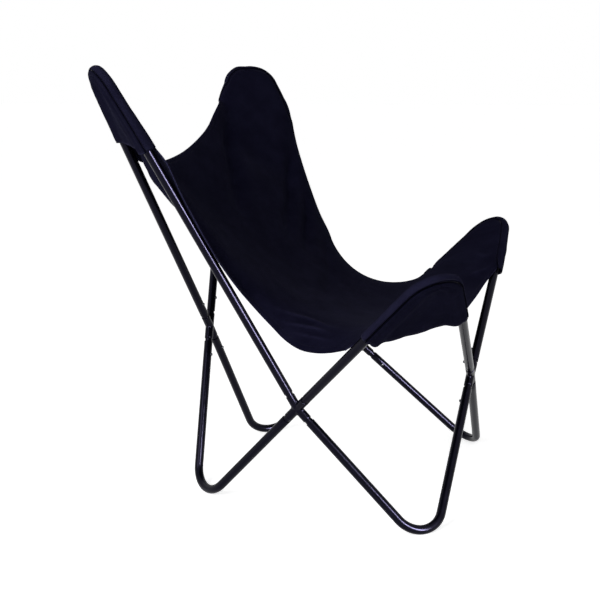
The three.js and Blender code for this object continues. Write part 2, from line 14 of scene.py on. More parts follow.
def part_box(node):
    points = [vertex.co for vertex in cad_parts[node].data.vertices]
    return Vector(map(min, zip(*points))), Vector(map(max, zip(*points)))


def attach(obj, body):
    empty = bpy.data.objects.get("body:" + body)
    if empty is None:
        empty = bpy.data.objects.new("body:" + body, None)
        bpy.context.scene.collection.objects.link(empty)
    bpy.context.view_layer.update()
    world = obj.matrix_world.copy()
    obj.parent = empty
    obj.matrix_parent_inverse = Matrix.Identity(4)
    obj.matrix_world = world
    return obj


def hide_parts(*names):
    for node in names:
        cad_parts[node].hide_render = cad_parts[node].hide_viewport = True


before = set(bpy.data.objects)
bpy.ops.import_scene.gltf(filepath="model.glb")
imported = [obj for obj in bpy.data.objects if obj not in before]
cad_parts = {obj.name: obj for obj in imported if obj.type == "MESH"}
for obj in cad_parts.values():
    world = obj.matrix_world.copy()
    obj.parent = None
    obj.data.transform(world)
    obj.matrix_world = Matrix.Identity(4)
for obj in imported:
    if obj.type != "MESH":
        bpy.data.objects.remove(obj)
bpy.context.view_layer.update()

bl_info = {
    "name": "Butterfly sling chair",
    "version": (1, 0, 0),
    "blender": (4, 5, 0),
    "location": "3D View > Sidebar > Sling chair",
    "description": "Tubes, crosses, snap buttons and canvas sling of a butterfly chair",
    "category": "Add Mesh",
}

# Where the plan's own origin, midway between the side crossings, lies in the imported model
PLAN_ORIGIN = np.array((-0.011433, -0.021999, 0.0))

# The crossings, the tips of the upper bows and the corners of the feet, as the plan gives them
SIDE_CROSS = (0.271, 0.0, 0.230)
FRONT_CROSS = (0.0, -0.311, 0.253)
REAR_CROSS = (0.0, 0.299, 0.321)
REAR_TIP = (0.402, 0.352, 0.901)
FRONT_TIP = (0.406, -0.306, 0.534)
REAR_FOOT = (0.218, 0.253)
FRONT_FOOT = (0.317, -0.290)
TIP_BEND = {"rear": 0.050, "front": 0.052}
FOOT_BEND = {"rear": 0.061, "front": 0.055}
FOOT_FLAT = 0.0011

# Cross connectors: the stubs, how deep they start and how thick their end is inside the hub, and
# the beads of weld between arms that meet at less than a limit
STUB_RADIUS = 0.0079
STUB_BORE = 0.0064
STUB_CHAMFER = 0.0008
STUB_START = 0.004
STUB_END_WALL = 0.006
INSERT_DEPTH = 0.045
WELD_RADIUS = 0.0042
WELD_SINK = 0.0020
WELD_LIMIT = math.radians(120)
HUB_VOXEL = 0.00085

# A point of the hub is drawn onto the true tube of an arm when it lies this near it, this far
# before its end, and this far clear of the other arms
HUB_NEAR = 0.0011
HUB_END = 0.0012
HUB_CLEAR = 0.0032

# Snap buttons and the edges of the rims
BUTTON_SETBACK = 0.032
BUTTON_CROWN = 0.0011
BUTTON_FLANGE = 0.001
CROWN_STEPS = 6
HOLE_CLEARANCE = 0.0004
RIM_BEVEL = 0.0003

# Where the seams lie round a tube, from its outer side towards the sitter: the panel's edge, the
# flap's edge, the line where the flap leaves the tube, and the open line in a seam
EDGE_ANGLE = math.radians(101)
FLAP_EDGE = math.radians(-52)
FLAP_LEAVES = math.radians(-104)
SEAM_LINE = math.radians(9)
CLOTH_GAP = 0.0006

# Depths of the pockets along the side leg and the other leg
REAR_DEPTHS = {"right": (0.124, 0.125), "left": (0.124, 0.056)}
FRONT_DEPTHS = (0.140, 0.135)

# How dark the painted shade in the open seams of a pocket is, and how rubbed its band is along
# the outer side; on front_right the band is paler still, as a painted highlight
SEAM_PAINTED_SHADES = {"rear_right": 0.75, "rear_left": 1.2, "front_right": 1.2, "front_left": 1.2}
BAND_RUBS_AND_HIGHLIGHTS = {"rear_right": 0.25, "rear_left": 0.25, "front_right": 0.36, "front_left": 0.25}

# How the panel's edge leaves the tube at some mouths, by pocket and leg: the angle that it turns
# to, over what length, and how far it stands off, which begins at the last length
MOUTHS = {
    ("rear_right", 0): (EDGE_ANGLE, 0.045, 0.003),
    ("rear_left", 0): (math.radians(15), 0.045, 0),
    ("rear_left", 1): (math.radians(5), 0.150, 0),
    ("front_left", 0): (math.radians(15), 0.045, 0),
    ("front_left", 1): (math.radians(60), 0.045, 0),
}
LIFT_REACH = 0.095

# The angles round the tube between which a band comes to follow the panel's edge off it
LIFT_TURN = (0.3, 1.5)

# How far the cloth stands off the two legs: at the tip, at the bend's end, at the mouth, and how
# much more between the last two. Round the bend it comes in slowly from the tip, by this power.
SLACK_POWER = 1.5
SLACKS = {
    "rear_right": ((0, 0, 0.012, 0), (0, 0, 0.012, 0)),
    "rear_left": ((0.003, 0.031, 0.031, 0.006), (0.003, 0, 0.012, 0)),
    "front_right": ((0, 0, 0.0015, 0), (0, 0, 0.0015, 0)),
    "front_left": ((0, 0, 0.008, 0), (0, 0, 0.008, 0)),
}

# Flaps: how far they puff over the tube; how high they swell beside it, where and how widely, and
# where that begins; how deep they dip in the middle, between which distances from the leg, and
# over what share of the pocket that fades to its tip; how far their mouths droop, over how many
# rungs, and the power that leans this to the first leg; and how near the tip the last rung lies,
# in stations of the pocket
FLAP_PUFF = 0.0016
FLAP_SWELL = 0.0035
SWELL_PLACE = 0.013
SWELL_WIDTH = 0.010
SWELL_START = 0.006
FLAP_DIP = 0.0055
DIP_SPAN = (0.016, 0.040)
DIP_FADE = 0.5
FLAP_DROOPS = {"rear": 0.002, "front": 0.018}
DROOP_RUNGS = 10
DROOP_LEAN = 0.55
TIP_RUNG = 0.15

# Wrinkles of the flaps: their height, how many there are across and down, over how many columns
# they come in, and how far in the noise those of two bends lie apart for each metre of radius;
# then fine ones, as waves to a metre and their height
FLAP_WRINKLE = 0.0022
WRINKLES_ACROSS = 7
WRINKLES_DOWN = 2
WRINKLE_EASE = 6
WRINKLE_SHIFT = 90
FINE_WRINKLE = (90, 0.0005)

# Bands: how high they stand off, how wide the rubbed part is round the tube, in radians, then
# wrinkles and bumps as waves to a metre and their height
BAND_LIFT = 0.0003
RUB_ANGLE = 0.9
BAND_WRINKLE = (55, 0.0005)
BAND_BUMP = (24, 0.0032)

# Free edges beside a leg: share of the leg from its bend, then out and up in tube diameters
REAR_LEG_HEMS = {
    "right": (
        (0.40, 0.95, 0.88), (0.46, 1.0, 0.58), (0.535, 1.05, 0.42), (0.62, 1.05, 0.38),
        (0.68, 1.15, 0.60),
    ),
    "left": (
        (0.42, 1.45, 0.5), (0.47, 1.25, 0.42), (0.535, 1.1, 0.35), (0.62, 1.05, 0.32),
        (0.68, 1.15, 0.58),
    ),
}
FRONT_LEG_HEMS = {
    "right": ((0.625, 0.2, 0.76), (0.575, -0.35, 0.72), (0.53, -0.4, 0.68)),
    "left": ((0.625, 0.2, 1.1), (0.575, -0.35, 1.28), (0.53, -0.4, 1.28)),
}

# Other free edges, as shares of the width, depth and height of the front or the rear tips
LOW_HEMS = {
    "right": (
        (0.747, -0.255, 0.826), (0.735, -0.15, 0.762), (0.73, -0.05, 0.706), (0.731, 0.05, 0.675),
        (0.739, 0.15, 0.669), (0.753, 0.25, 0.676), (0.781, 0.37, 0.696),
    ),
    "left": (
        (0.747, -0.255, 0.860), (0.735, -0.15, 0.746), (0.73, -0.05, 0.658), (0.731, 0.05, 0.623),
        (0.739, 0.15, 0.622), (0.753, 0.25, 0.643), (0.781, 0.37, 0.688),
    ),
}
REAR_HEM = (
    (-0.585, 1.017, 0.806), (-0.46, 1.002, 0.793), (-0.308, 0.989, 0.790), (-0.05, 0.98, 0.804),
    (0.201, 0.98, 0.835), (0.361, 0.994, 0.86), (0.485, 1.009, 0.889), (0.627, 1.034, 0.915),
)
FRONT_HEM = (
    (-0.468, 1.023, 0.79), (-0.246, 0.997, 0.764), (0, 0.98, 0.751), (0.246, 0.997, 0.764),
    (0.468, 1.023, 0.79),
)

# Long folds of the panel: places as shares from the rear to the front and from the sitter's right
# to left, then the half width and the height towards the sitter. The last one is a dip behind the
# sitter's right rear leg, which runs on close beside the free edge.
FOLDS = (
    (((0.0, 0.31), (0.17, 0.15), (0.36, 0.0)), 0.042, -0.029),
    (((0.0, 0.67), (0.2, 0.835), (0.40, 1.0)), 0.060, -0.010),
    (((0.007, 0.827), (0.067, 0.727), (0.14, 0.633), (0.233, 0.5)), 0.024, -0.0200),
    (((0.267, 0.98), (0.3, 0.853), (0.347, 0.64)), 0.018, -0.0180),
    (((0.36, 0.953), (0.38, 0.827), (0.413, 0.66)), 0.015, -0.0150),
    (((0.447, 0.867), (0.493, 0.693), (0.567, 0.373)), 0.016, -0.0080),
    (((0.72, 0.1), (0.607, 0.127), (0.533, 0.073)), 0.006, 0.0036),
    (((0.725, 0.06), (0.627, 0.087), (0.56, 0.04)), 0.005, 0.0036),
    (((0.72, 0.03), (0.633, 0.045), (0.58, 0.03)), 0.0045, 0.0030),
    (((0.995, 0.76), (0.973, 0.74), (0.933, 0.74)), 0.006, 0.0065),
    (((0.99, 0.8), (0.967, 0.807), (0.927, 0.873)), 0.007, 0.0055),
    (((0.38, 0.32), (0.487, 0.24), (0.593, 0.233)), 0.030, 0.0030),
    (((0.10, 0.20), (0.22, 0.09), (0.34, 0.04), (0.48, 0.03), (0.56, 0.02)), 0.024, -0.010),
)
LEG_DIP = FOLDS[-1]

# Raised folds narrower than this get a painted highlight, paler along the top, by this much
FOLD_HIGHLIGHT_WIDTH = 0.010
FOLD_HIGHLIGHT_SHARE = 0.45

# Beside each edge of the panel its long folds fade out over one part in the first number, and the
# dip over one part in the second
FADE_PARTS = (14, 45)

# Samples along each span of a fold, how blunt its ends are, and how much narrower its painted
# highlight is
FOLD_SAMPLES = 12
FOLD_ENDS = 0.7
FOLD_HIGHLIGHT_NARROWER = 1.6

# Soft unevenness of the panel: waves to a metre and their height
PANEL_WAVES = ((9.0, 0.0022), (26.0, 0.0006))

# How many of the panel's lines beside an edge its seam allowance and its hem can reach
SEAM_LINES = 12
HEM_LINES = 24

# How much the panel's lines crowd towards its corners, and how far a unit pull lowers its middle
CROWD_SHARE = 0.3
SAG_SHARE = 0.295

# Stitches: how far their rows lie from the inner side of a hem, the panel's sewn edge, a band's
# open seam and a flap's mouth; how high on the bands and flaps, in thicknesses of cloth; and their
# pitch in lengths of a stitch
HEM_ROW = 0.002
PANEL_ROW = 0.0035
SEAM_ROW = 0.0032
MOUTH_ROW = 0.010
BAND_ROW_HEIGHT = 0.75
FLAP_ROW_HEIGHT = 0.78
STITCH_PITCH = 1.3

# How much thicker doubled cloth is than single cloth, on the panel and bands and on the flaps, the
# share of the seam allowance that is full thick, and how far the rim of cloth bulges, in
# thicknesses
SEAM_EXTRA = 0.5
FLAP_EXTRA = 0.55
SEAM_FULL = 0.7
RIM_BULGE = 0.35

# Distances between which doubled cloth ends at the mouth of a band and of a flap, and between
# which the painted shade of an open seam ends
BAND_MOUTH = (0.0095, 0.0115)
FLAP_MOUTH = (0.0115, 0.0135)
SEAM_SHADE_SPAN = (0.0003, 0.0018)

# How rubbed the mouths of flaps are, how far that reaches from a mouth, and over what distance
# from a seam it comes in; then how rubbed the folds of hems are
MOUTH_RUB = 0.5
MOUTH_RUB_REACH = 0.003
MOUTH_RUB_START = 0.004
HEM_RUB = 0.9

# Hems: the places across them where their form is taken besides their width, the gap under and
# over the panel, their depth in thicknesses of cloth, and the steps of the round fold
HEM_PLACES = (0.0, 0.002, 0.005, 0.008, 0.011)
HEM_GAP = 0.0001
HEM_DEPTH = 1.5
FOLD_STEPS = 6

# A wave texture of scale 1 repeats at this length
WAVE_REPEAT = math.pi / 10

# Lamps by name: place and size. The strip is seen in reflections only.
LAMPS = {
    "key": ((-2.6, 0.9, 1.8), (1.5, 1.5)),
    "fill": ((-1.6, -2.4, 1.9), (1.6, 1.6)),
    "rim": ((1.4, 2.2, 2.3), (1.4, 1.4)),
    "strip": ((-1.88, -2.33, 1.15), (0.7, 2.2)),
}

# The place that the lamps aim at, and the direction that their upright sides lean in
LAMP_AIM = (0, 0, 0.45)
LAMP_UP = (-0.17, 0.458, 0.873)

# Half the width of the floor, and how strongly it shines by itself where it is seen
FLOOR_REACH = 30
FLOOR_GLOW = 0.72

# The camera that was fitted to the crossings, the feet and the tips in the photograph: place from
# the plan's origin, turns in degrees, lens and sensor in millimetres
CAMERA_PLACE = (-2.249858, -0.624647, 0.8932)
CAMERA_YAW = 17.34
CAMERA_PITCH = 11.93
CAMERA_ROLL = -0.28
CAMERA_LENS = 63.97
CAMERA_SENSOR = 36

# Counts
TUBE_SIDES = 40
BEND_STEPS = 28
LEG_STEPS = 12
HUB_SIDES = 56
STUB_SIDES = 36
BUTTON_SIDES = 24
HOLE_SIDES = 20
PANEL_CELLS = 150
POCKET_BEND_STEPS = 48
POCKET_LEG_STEPS = 24
WRAP_STEPS = 20
FLAP_STEPS = 56
FLAP_WRAP_STEPS = 10
HEM_SAMPLES = 24
SOLVE_ROUNDS = 60

SIDES = {"right": -1, "left": 1}
ROOT_BODY = "frame"


class ChairTubeSizes(bpy.types.PropertyGroup):
    diameter: FloatProperty(
        name="Tube diameter", description="Outer diameter of the frame tube", default=0.019,
        unit="LENGTH")
    wall: FloatProperty(
        name="Tube wall", description="Wall thickness of the frame tube", default=0.0012,
        unit="LENGTH")
    rim_place: FloatProperty(
        name="Rim place", description="From a crossing to the end of a bow", default=0.038,
        unit="LENGTH")
    neck_length: FloatProperty(
        name="Neck length", description="Slim length of a stub that shows before the rim",
        default=0.007, unit="LENGTH")
    button_diameter: FloatProperty(
        name="Button diameter", description="Diameter of a snap button", default=0.006,
        unit="LENGTH")
    button_proud: FloatProperty(
        name="Button height", description="How far a snap button stands out of its tube",
        default=0.0028, unit="LENGTH")


class ChairSlingSizes(bpy.types.PropertyGroup):
    cloth: FloatProperty(
        name="Cloth thickness", description="Thickness of the canvas", default=0.0012,
        unit="LENGTH")
    seam: FloatProperty(
        name="Seam allowance", description="Width of the doubled cloth beside a seam",
        default=0.005, unit="LENGTH")
    hem_width: FloatProperty(
        name="Hem width", description="Width of the folded hems", default=0.013, unit="LENGTH")
    sag: FloatProperty(
        name="Seat sag", description="How far the middle of the panel hangs down",
        default=0.125, unit="LENGTH")
    stitch: FloatProperty(
        name="Stitch length", description="Length of one stitch", default=0.0032, unit="LENGTH")
    thread: FloatProperty(
        name="Thread diameter", description="Diameter of the sewing thread", default=0.0007,
        unit="LENGTH")
    weave: FloatProperty(
        name="Weave repeat", description="Repeat of the plain weave, two threads",
        default=0.0017, unit="LENGTH")


class ChairFinish(bpy.types.PropertyGroup):
    steel: FloatVectorProperty(
        name="Steel coat", description="Colour of the coat on the tubes", subtype="COLOR",
        default=(0.0018, 0.0018, 0.0040), size=3, min=0, max=1)
    canvas: FloatVectorProperty(
        name="Canvas", description="Colour of the canvas", subtype="COLOR",
        default=(0.0046, 0.0044, 0.0126), size=3, min=0, max=1)
    # Also the colour that the painted highlights on narrow fold tops and on one band blend towards
    worn_canvas: FloatVectorProperty(
        name="Worn canvas", description="Colour where the canvas is rubbed", subtype="COLOR",
        default=(0.0230, 0.0222, 0.0540), size=3, min=0, max=1)
    plating: FloatVectorProperty(
        name="Button plating", description="Colour of the plated buttons", subtype="COLOR",
        default=(0.06, 0.062, 0.07), size=3, min=0, max=1)
    spring: FloatVectorProperty(
        name="Spring steel", description="Colour of the leaf springs", subtype="COLOR",
        default=(0.30, 0.29, 0.28), size=3, min=0, max=1)


class ChairStudio(bpy.types.PropertyGroup):
    key_power: FloatProperty(
        name="Key lamp", description="Power of the large soft lamp over the sitter's right",
        default=50.0, unit="POWER")
    fill_power: FloatProperty(
        name="Fill lamp", description="Power of the soft lamp in front of the chair",
        default=4.0, unit="POWER")
    rim_power: FloatProperty(
        name="Rim lamp", description="Power of the soft lamp behind the chair",
        default=4.0, unit="POWER")
    strip_power: FloatProperty(
        name="Strip lamp", description="Power of the narrow lamp that draws lines on the tubes",
        default=800.0, unit="POWER")
    sky: FloatProperty(
        name="Room light", description="Strength of the even light of the room", default=0.27)
    floor_colour: FloatVectorProperty(
        name="Floor", description="Colour of the studio floor", subtype="COLOR",
        default=(0.93, 0.93, 0.93), size=3, min=0, max=1)


def unit(vector):
    """The same direction with length 1."""
    return vector / np.linalg.norm(vector)


def mirrored(point, sign):
    """A point of the plan on one side of the chair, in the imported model."""
    return np.array((sign * point[0], point[1], point[2])) + PLAN_ORIGIN


class Bow:
    """Two straight legs from their crossings to one round bend, seen from the virtual corner."""

    def __init__(self, name, corner, ends, radius):
        self.name, self.corner, self.ends, self.radius = name, corner, ends, radius
        self.legs = [unit(end - corner) for end in ends]
        self.inward = unit(self.legs[0] + self.legs[1])
        self.half = math.acos(float(self.legs[0] @ self.legs[1])) / 2
        self.reach = radius / math.sin(self.half)
        self.tangent = radius / math.tan(self.half)
        self.turn = math.pi / 2 - self.half
        self.centre = corner + self.inward * self.reach
        self.across = unit(self.legs[0] - self.inward * math.cos(self.half))
        normal = unit(np.cross(self.legs[0], self.legs[1]))
        self.sitter_side = -normal if normal[2] < 0 else normal

    def outward(self, angle):
        """The direction away from the bend's centre, at an angle from the middle of the bend."""
        return self.across * math.sin(angle) - self.inward * math.cos(angle)

    def travel(self, angle):
        """The direction of the tube there, from the first leg to the second."""
        return -self.inward * math.sin(angle) - self.across * math.cos(angle)


def corner_over_tip(tip, ends, radius):
    """The virtual corner of a bow whose bend reaches a tip."""
    corner = tip.copy()
    for _ in range(SOLVE_ROUNDS):
        bend = Bow("", corner, ends, radius)
        corner = tip + bend.inward * (radius - bend.reach)
    return corner


def corner_over_floor(out, along, ends, radius, tube_radius):
    """The virtual corner of a bow whose bend stands on the floor, with its small worn flat."""
    corner = np.array((out, along, 0.0))
    for _ in range(SOLVE_ROUNDS):
        bend = Bow("", corner, ends, radius)
        down = math.sqrt(1 - bend.sitter_side[2] ** 2)
        lowest = corner[2] + bend.inward[2] * bend.reach - radius * down
        corner = corner + np.array((0, 0, tube_radius - FOOT_FLAT - lowest))
    return corner


def plan_bows(tube_radius):
    """The four crossings and the eight bows of the frame."""
    crossings = {
        "right": mirrored(SIDE_CROSS, -1), "left": mirrored(SIDE_CROSS, 1),
        "front": mirrored(FRONT_CROSS, 1), "rear": mirrored(REAR_CROSS, 1),
    }
    bows = {}
    tips, feet = {"rear": REAR_TIP, "front": FRONT_TIP}, {"rear": REAR_FOOT, "front": FRONT_FOOT}
    for side, sign in SIDES.items():
        for end in ("rear", "front"):
            ends = [crossings[side], crossings[end]]
            corner = corner_over_tip(mirrored(tips[end], sign), ends, TIP_BEND[end])
            name = f"upper_bow_{end}_{side}"
            bows[name] = Bow(name, corner, ends, TIP_BEND[end])
            out, along, _ = mirrored((*feet[end], 0), sign)
            corner = corner_over_floor(out, along, ends, FOOT_BEND[end], tube_radius)
            name = f"lower_bow_{end}_{side}"
            bows[name] = Bow(name, corner, ends, FOOT_BEND[end])
    return crossings, bows


def arms_of(crossing, bows):
    """The four arms of a crossing: bow, place word, direction, and the side its button is on."""
    inside = unit(np.array((PLAN_ORIGIN[0] - crossing[0], PLAN_ORIGIN[1] - crossing[1], 0)))
    for bow in bows.values():
        for index, end in enumerate(bow.ends):
            if end is crossing:
                direction = unit(bow.corner - crossing)
                facing = unit(inside - direction * float(inside @ direction))
                yield bow, "side" if index == 0 else "middle", direction, facing


def basis(origin, z_axis, x_axis):
    """A placing matrix whose Z runs along one direction and whose X faces another."""
    z, x = Vector(z_axis).normalized(), Vector(x_axis).normalized()
    y = z.cross(x)
    matrix = Matrix((x, y, z)).transposed().to_4x4()
    matrix.translation = Vector(origin)
    return matrix


def added(name, data):
    """A new object in the scene."""
    made = bpy.data.objects.new(name, data)
    bpy.context.scene.collection.objects.link(made)
    return made


def new_piece(name, mesh, material, body=ROOT_BODY, replaced=()):
    """Adds a piece with its finish, the body it rides on and the solids it stands for."""
    piece = added(name, mesh)
    mesh.materials.clear()
    mesh.materials.append(material)
    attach(piece, body)
    if replaced:
        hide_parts(*replaced)
    return piece


def smoothed(mesh, sharp_angle):
    """The same mesh made smooth, with edges kept sharp above an angle in degrees."""
    mesh.shade_smooth()
    mesh.set_sharp_from_angle(angle=math.radians(sharp_angle))
    return mesh


def mesh_from(bm, name, sharp_angle=35):
    """A smooth mesh made of a bmesh, which is freed."""
    mesh = bpy.data.meshes.new(name)
    bm.to_mesh(mesh)
    bm.free()
    return smoothed(mesh, sharp_angle)


def turn_outward(bm):
    """Makes the faces of one closed skin look outward."""
    bmesh.ops.recalc_face_normals(bm, faces=bm.faces[:])
    if bm.calc_volume(signed=True) < 0:
        bmesh.ops.reverse_faces(bm, faces=bm.faces[:])


def with_modifiers(mesh, modifiers, helpers=()):
    """A copy of a mesh with modifiers worked in, given as (type, values)."""
    holder = added("holder", mesh)
    for kind, values in modifiers:
        modifier = holder.modifiers.new(kind.title(), kind)
        for key, value in values.items():
            setattr(modifier, key, value)
    graph = bpy.context.evaluated_depsgraph_get()
    made = bpy.data.meshes.new_from_object(holder.evaluated_get(graph))
    made.name = mesh.name
    for thing in (holder, *helpers):
        bpy.data.objects.remove(thing)
    return made


def spun(profile, matrix, steps):
    """A closed solid of revolution round Z from (radius, height) points, put in its place."""
    bm = bmesh.new()
    points = [bm.verts.new((radius, 0, height)) for radius, height in profile]
    edges = [bm.edges.new(pair) for pair in zip(points, points[1:])]
    bmesh.ops.spin(bm, geom=points + edges, cent=(0, 0, 0), axis=(0, 0, 1), dvec=(0, 0, 0),
                   angle=2 * math.pi, steps=steps, use_merge=True)
    bmesh.ops.remove_doubles(bm, verts=bm.verts[:], dist=1e-7)
    bmesh.ops.recalc_face_normals(bm, faces=bm.faces[:])
    bmesh.ops.transform(bm, matrix=matrix, verts=bm.verts[:])
    return bm


def button_spot(crossing, direction, sizes):
    """The place on a tube's axis that a snap button lies over."""
    return crossing + direction * (sizes.rim_place + BUTTON_SETBACK)


def button_hole(crossing, direction, facing, sizes):
    """A round cutter that clears a snap button."""
    radius = sizes.button_diameter / 2 + HOLE_CLEARANCE
    bm = spun([(0, 0), (radius, 0), (radius, sizes.diameter), (0, sizes.diameter)],
              basis(button_spot(crossing, direction, sizes), facing, direction), HOLE_SIDES)
    return added("hole", mesh_from(bm, "hole"))


def ring_edges(geometry):
    """The edges between the vertices that an operator has just made."""
    verts = {v for v in geometry if isinstance(v, bmesh.types.BMVert)}
    return [e for e in geometry
            if isinstance(e, bmesh.types.BMEdge) and all(v in verts for v in e.verts)]


def drawn(bm, ring, direction, parts):
    """Draws a ring of edges out by parts, each a length and its steps, and returns the last."""
    for length, steps in parts:
        for _ in range(steps):
            made = bmesh.ops.extrude_edge_only(bm, edges=ring)["geom"]
            verts = [v for v in made if isinstance(v, bmesh.types.BMVert)]
            bmesh.ops.translate(bm, verts=verts, vec=Vector(direction * length / steps))
            ring = ring_edges(made)
    return ring


def bow_mesh(bow, sizes):
    """A bent tube: a ring drawn along the first leg, spun round the bend and drawn on."""
    bm = bmesh.new()
    start = bow.ends[0] - bow.legs[0] * sizes.rim_place
    made = bmesh.ops.create_circle(
        bm, cap_ends=False, segments=TUBE_SIDES, radius=sizes.diameter / 2,
        matrix=basis(start, -bow.legs[0], bow.outward(bow.turn)))
    ring = list({e for v in made["verts"] for e in v.link_edges})
    beside_hole = [(BUTTON_SETBACK, 1)] * 2
    rest = [np.linalg.norm(end - bow.corner) - sizes.rim_place - bow.tangent - 2 * BUTTON_SETBACK
            for end in bow.ends]
    ring = drawn(bm, ring, -bow.legs[0], [*beside_hole, (rest[0], LEG_STEPS)])
    axis = np.cross(bow.outward(bow.turn), bow.travel(bow.turn))
    made = bmesh.ops.spin(
        bm, geom=ring, cent=Vector(bow.centre), axis=Vector(axis), dvec=(0, 0, 0),
        angle=2 * bow.turn, steps=BEND_STEPS, use_merge=False)["geom_last"]
    drawn(bm, ring_edges(made), bow.legs[1], [(rest[1], LEG_STEPS), *beside_hole])
    bmesh.ops.remove_doubles(bm, verts=bm.verts[:], dist=1e-6)
    bmesh.ops.recalc_face_normals(bm, faces=bm.faces[:])
    for vert in bm.verts:
        vert.co.z = max(vert.co.z, 0)
    return mesh_from(bm, bow.name, 60)


class CHAIR_OT_bows(bpy.types.Operator):
    """Makes the eight bent tubes of the frame"""

    bl_idname = "sling_chair.bows"
    bl_label = "Bent tubes"

    def execute(self, context):
        """Makes each bow hollow, drills its button holes and breaks the edges of its rims."""
        sizes = context.scene.chair_tube
        coat = steel_coat()
        crossings, bows = plan_bows(sizes.diameter / 2)
        holes = {name: [] for name in bows}
        for crossing in crossings.values():
            for bow, _, direction, facing in arms_of(crossing, bows):
                holes[bow.name].append(button_hole(crossing, direction, facing, sizes))
        for name, bow in bows.items():
            modifiers = [("SOLIDIFY", {"thickness": sizes.wall, "offset": -1,
                                       "use_even_offset": True})]
            modifiers += [("BOOLEAN", {"object": cutter, "solver": "EXACT"})
                          for cutter in holes[name]]
            modifiers.append(("BEVEL", {"width": RIM_BEVEL, "segments": 2, "profile": 0.5,
                                        "limit_method": "ANGLE",
                                        "angle_limit": math.radians(60)}))
            made = smoothed(with_modifiers(bow_mesh(bow, sizes), modifiers, holes[name]), 40)
            new_piece(f"tube_{name}", made, coat, replaced=[name])
        return {"FINISHED"}


def welded_hub(crossing, arms, sizes):
    """The welded middle of a cross: four short tubes grown together with fillets of weld."""
    radius, length = sizes.diameter / 2, sizes.rim_place - sizes.neck_length
    bm = bmesh.new()
    for _, _, direction, facing in arms:
        bmesh.ops.create_cone(
            bm, cap_ends=True, segments=HUB_SIDES, radius1=radius, radius2=radius,
            depth=length, matrix=basis(crossing + direction * length / 2, direction, facing))
    for (_, _, first, _), (_, _, second, _) in itertools.combinations(arms, 2):
        half = math.acos(float(first @ second)) / 2
        if half > WELD_LIMIT / 2:
            continue
        bead = crossing + unit(first + second) * (radius / math.sin(half) - WELD_SINK)
        bmesh.ops.create_icosphere(
            bm, subdivisions=3, radius=WELD_RADIUS, matrix=Matrix.Translation(Vector(bead)))
    hub = with_modifiers(mesh_from(bm, "hub"), [
        ("REMESH", {"mode": "VOXEL", "voxel_size": HUB_VOXEL, "use_smooth_shade": True}),
        ("SMOOTH", {"factor": 0.5, "iterations": 4}),
    ])
    bm = bmesh.new()
    bm.from_mesh(hub)
    bpy.data.meshes.remove(hub)
    for vert in bm.verts:
        smooth_onto_arm(vert, crossing, [direction for _, _, direction, _ in arms], radius, length)
    return bm


def smooth_onto_arm(vert, crossing, directions, radius, length):
    """Draws a point of a hub onto the round of the arm that it lies on, clear of the welds."""
    offset = np.array(vert.co) - crossing
    ahead = []
    for direction in directions:
        along = float(offset @ direction)
        square = offset - direction * along
        if along > 0:
            ahead.append((abs(np.linalg.norm(square) - radius), along, direction, square))
    if not ahead:
        return
    (away, along, direction, square), *others = sorted(ahead, key=lambda one: one[0])
    clear = all(np.linalg.norm(other[3]) >= radius + HUB_CLEAR for other in others)
    if away <= HUB_NEAR and along <= length - HUB_END and clear:
        vert.co = Vector(crossing + direction * along + unit(square) * radius)


class CHAIR_OT_crosses(bpy.types.Operator):
    """Makes the four welded crosses with their hollow stubs"""

    bl_idname = "sling_chair.crosses"
    bl_label = "Cross connectors"

    def execute(self, context):
        """Grows each hub together and adds the stubs that the bows slide over."""
        sizes = context.scene.chair_tube
        coat = steel_coat()
        crossings, bows = plan_bows(sizes.diameter / 2)
        for place, crossing in crossings.items():
            arms = list(arms_of(crossing, bows))
            bm = welded_hub(crossing, arms, sizes)
            start = sizes.rim_place - sizes.neck_length - STUB_START
            end, floor = sizes.rim_place + INSERT_DEPTH, start + STUB_END_WALL
            profile = [(0, start), (STUB_RADIUS, start), (STUB_RADIUS, end - STUB_CHAMFER),
                       (STUB_RADIUS - STUB_CHAMFER / 2, end), (STUB_BORE, end),
                       (STUB_BORE, floor), (0, floor)]
            for _, _, direction, facing in arms:
                stub = spun(profile, basis(crossing, direction, facing), STUB_SIDES)
                cutter = button_hole(crossing, direction, facing, sizes)
                drilled = with_modifiers(mesh_from(stub, "stub"), [
                    ("BOOLEAN", {"object": cutter, "solver": "EXACT"})], [cutter])
                bm.from_mesh(drilled)
                bpy.data.meshes.remove(drilled)
            new_piece(f"welded_cross_{place}", mesh_from(bm, f"cross_{place}", 40), coat,
                      replaced=[f"cross_{place}"])
        return {"FINISHED"}


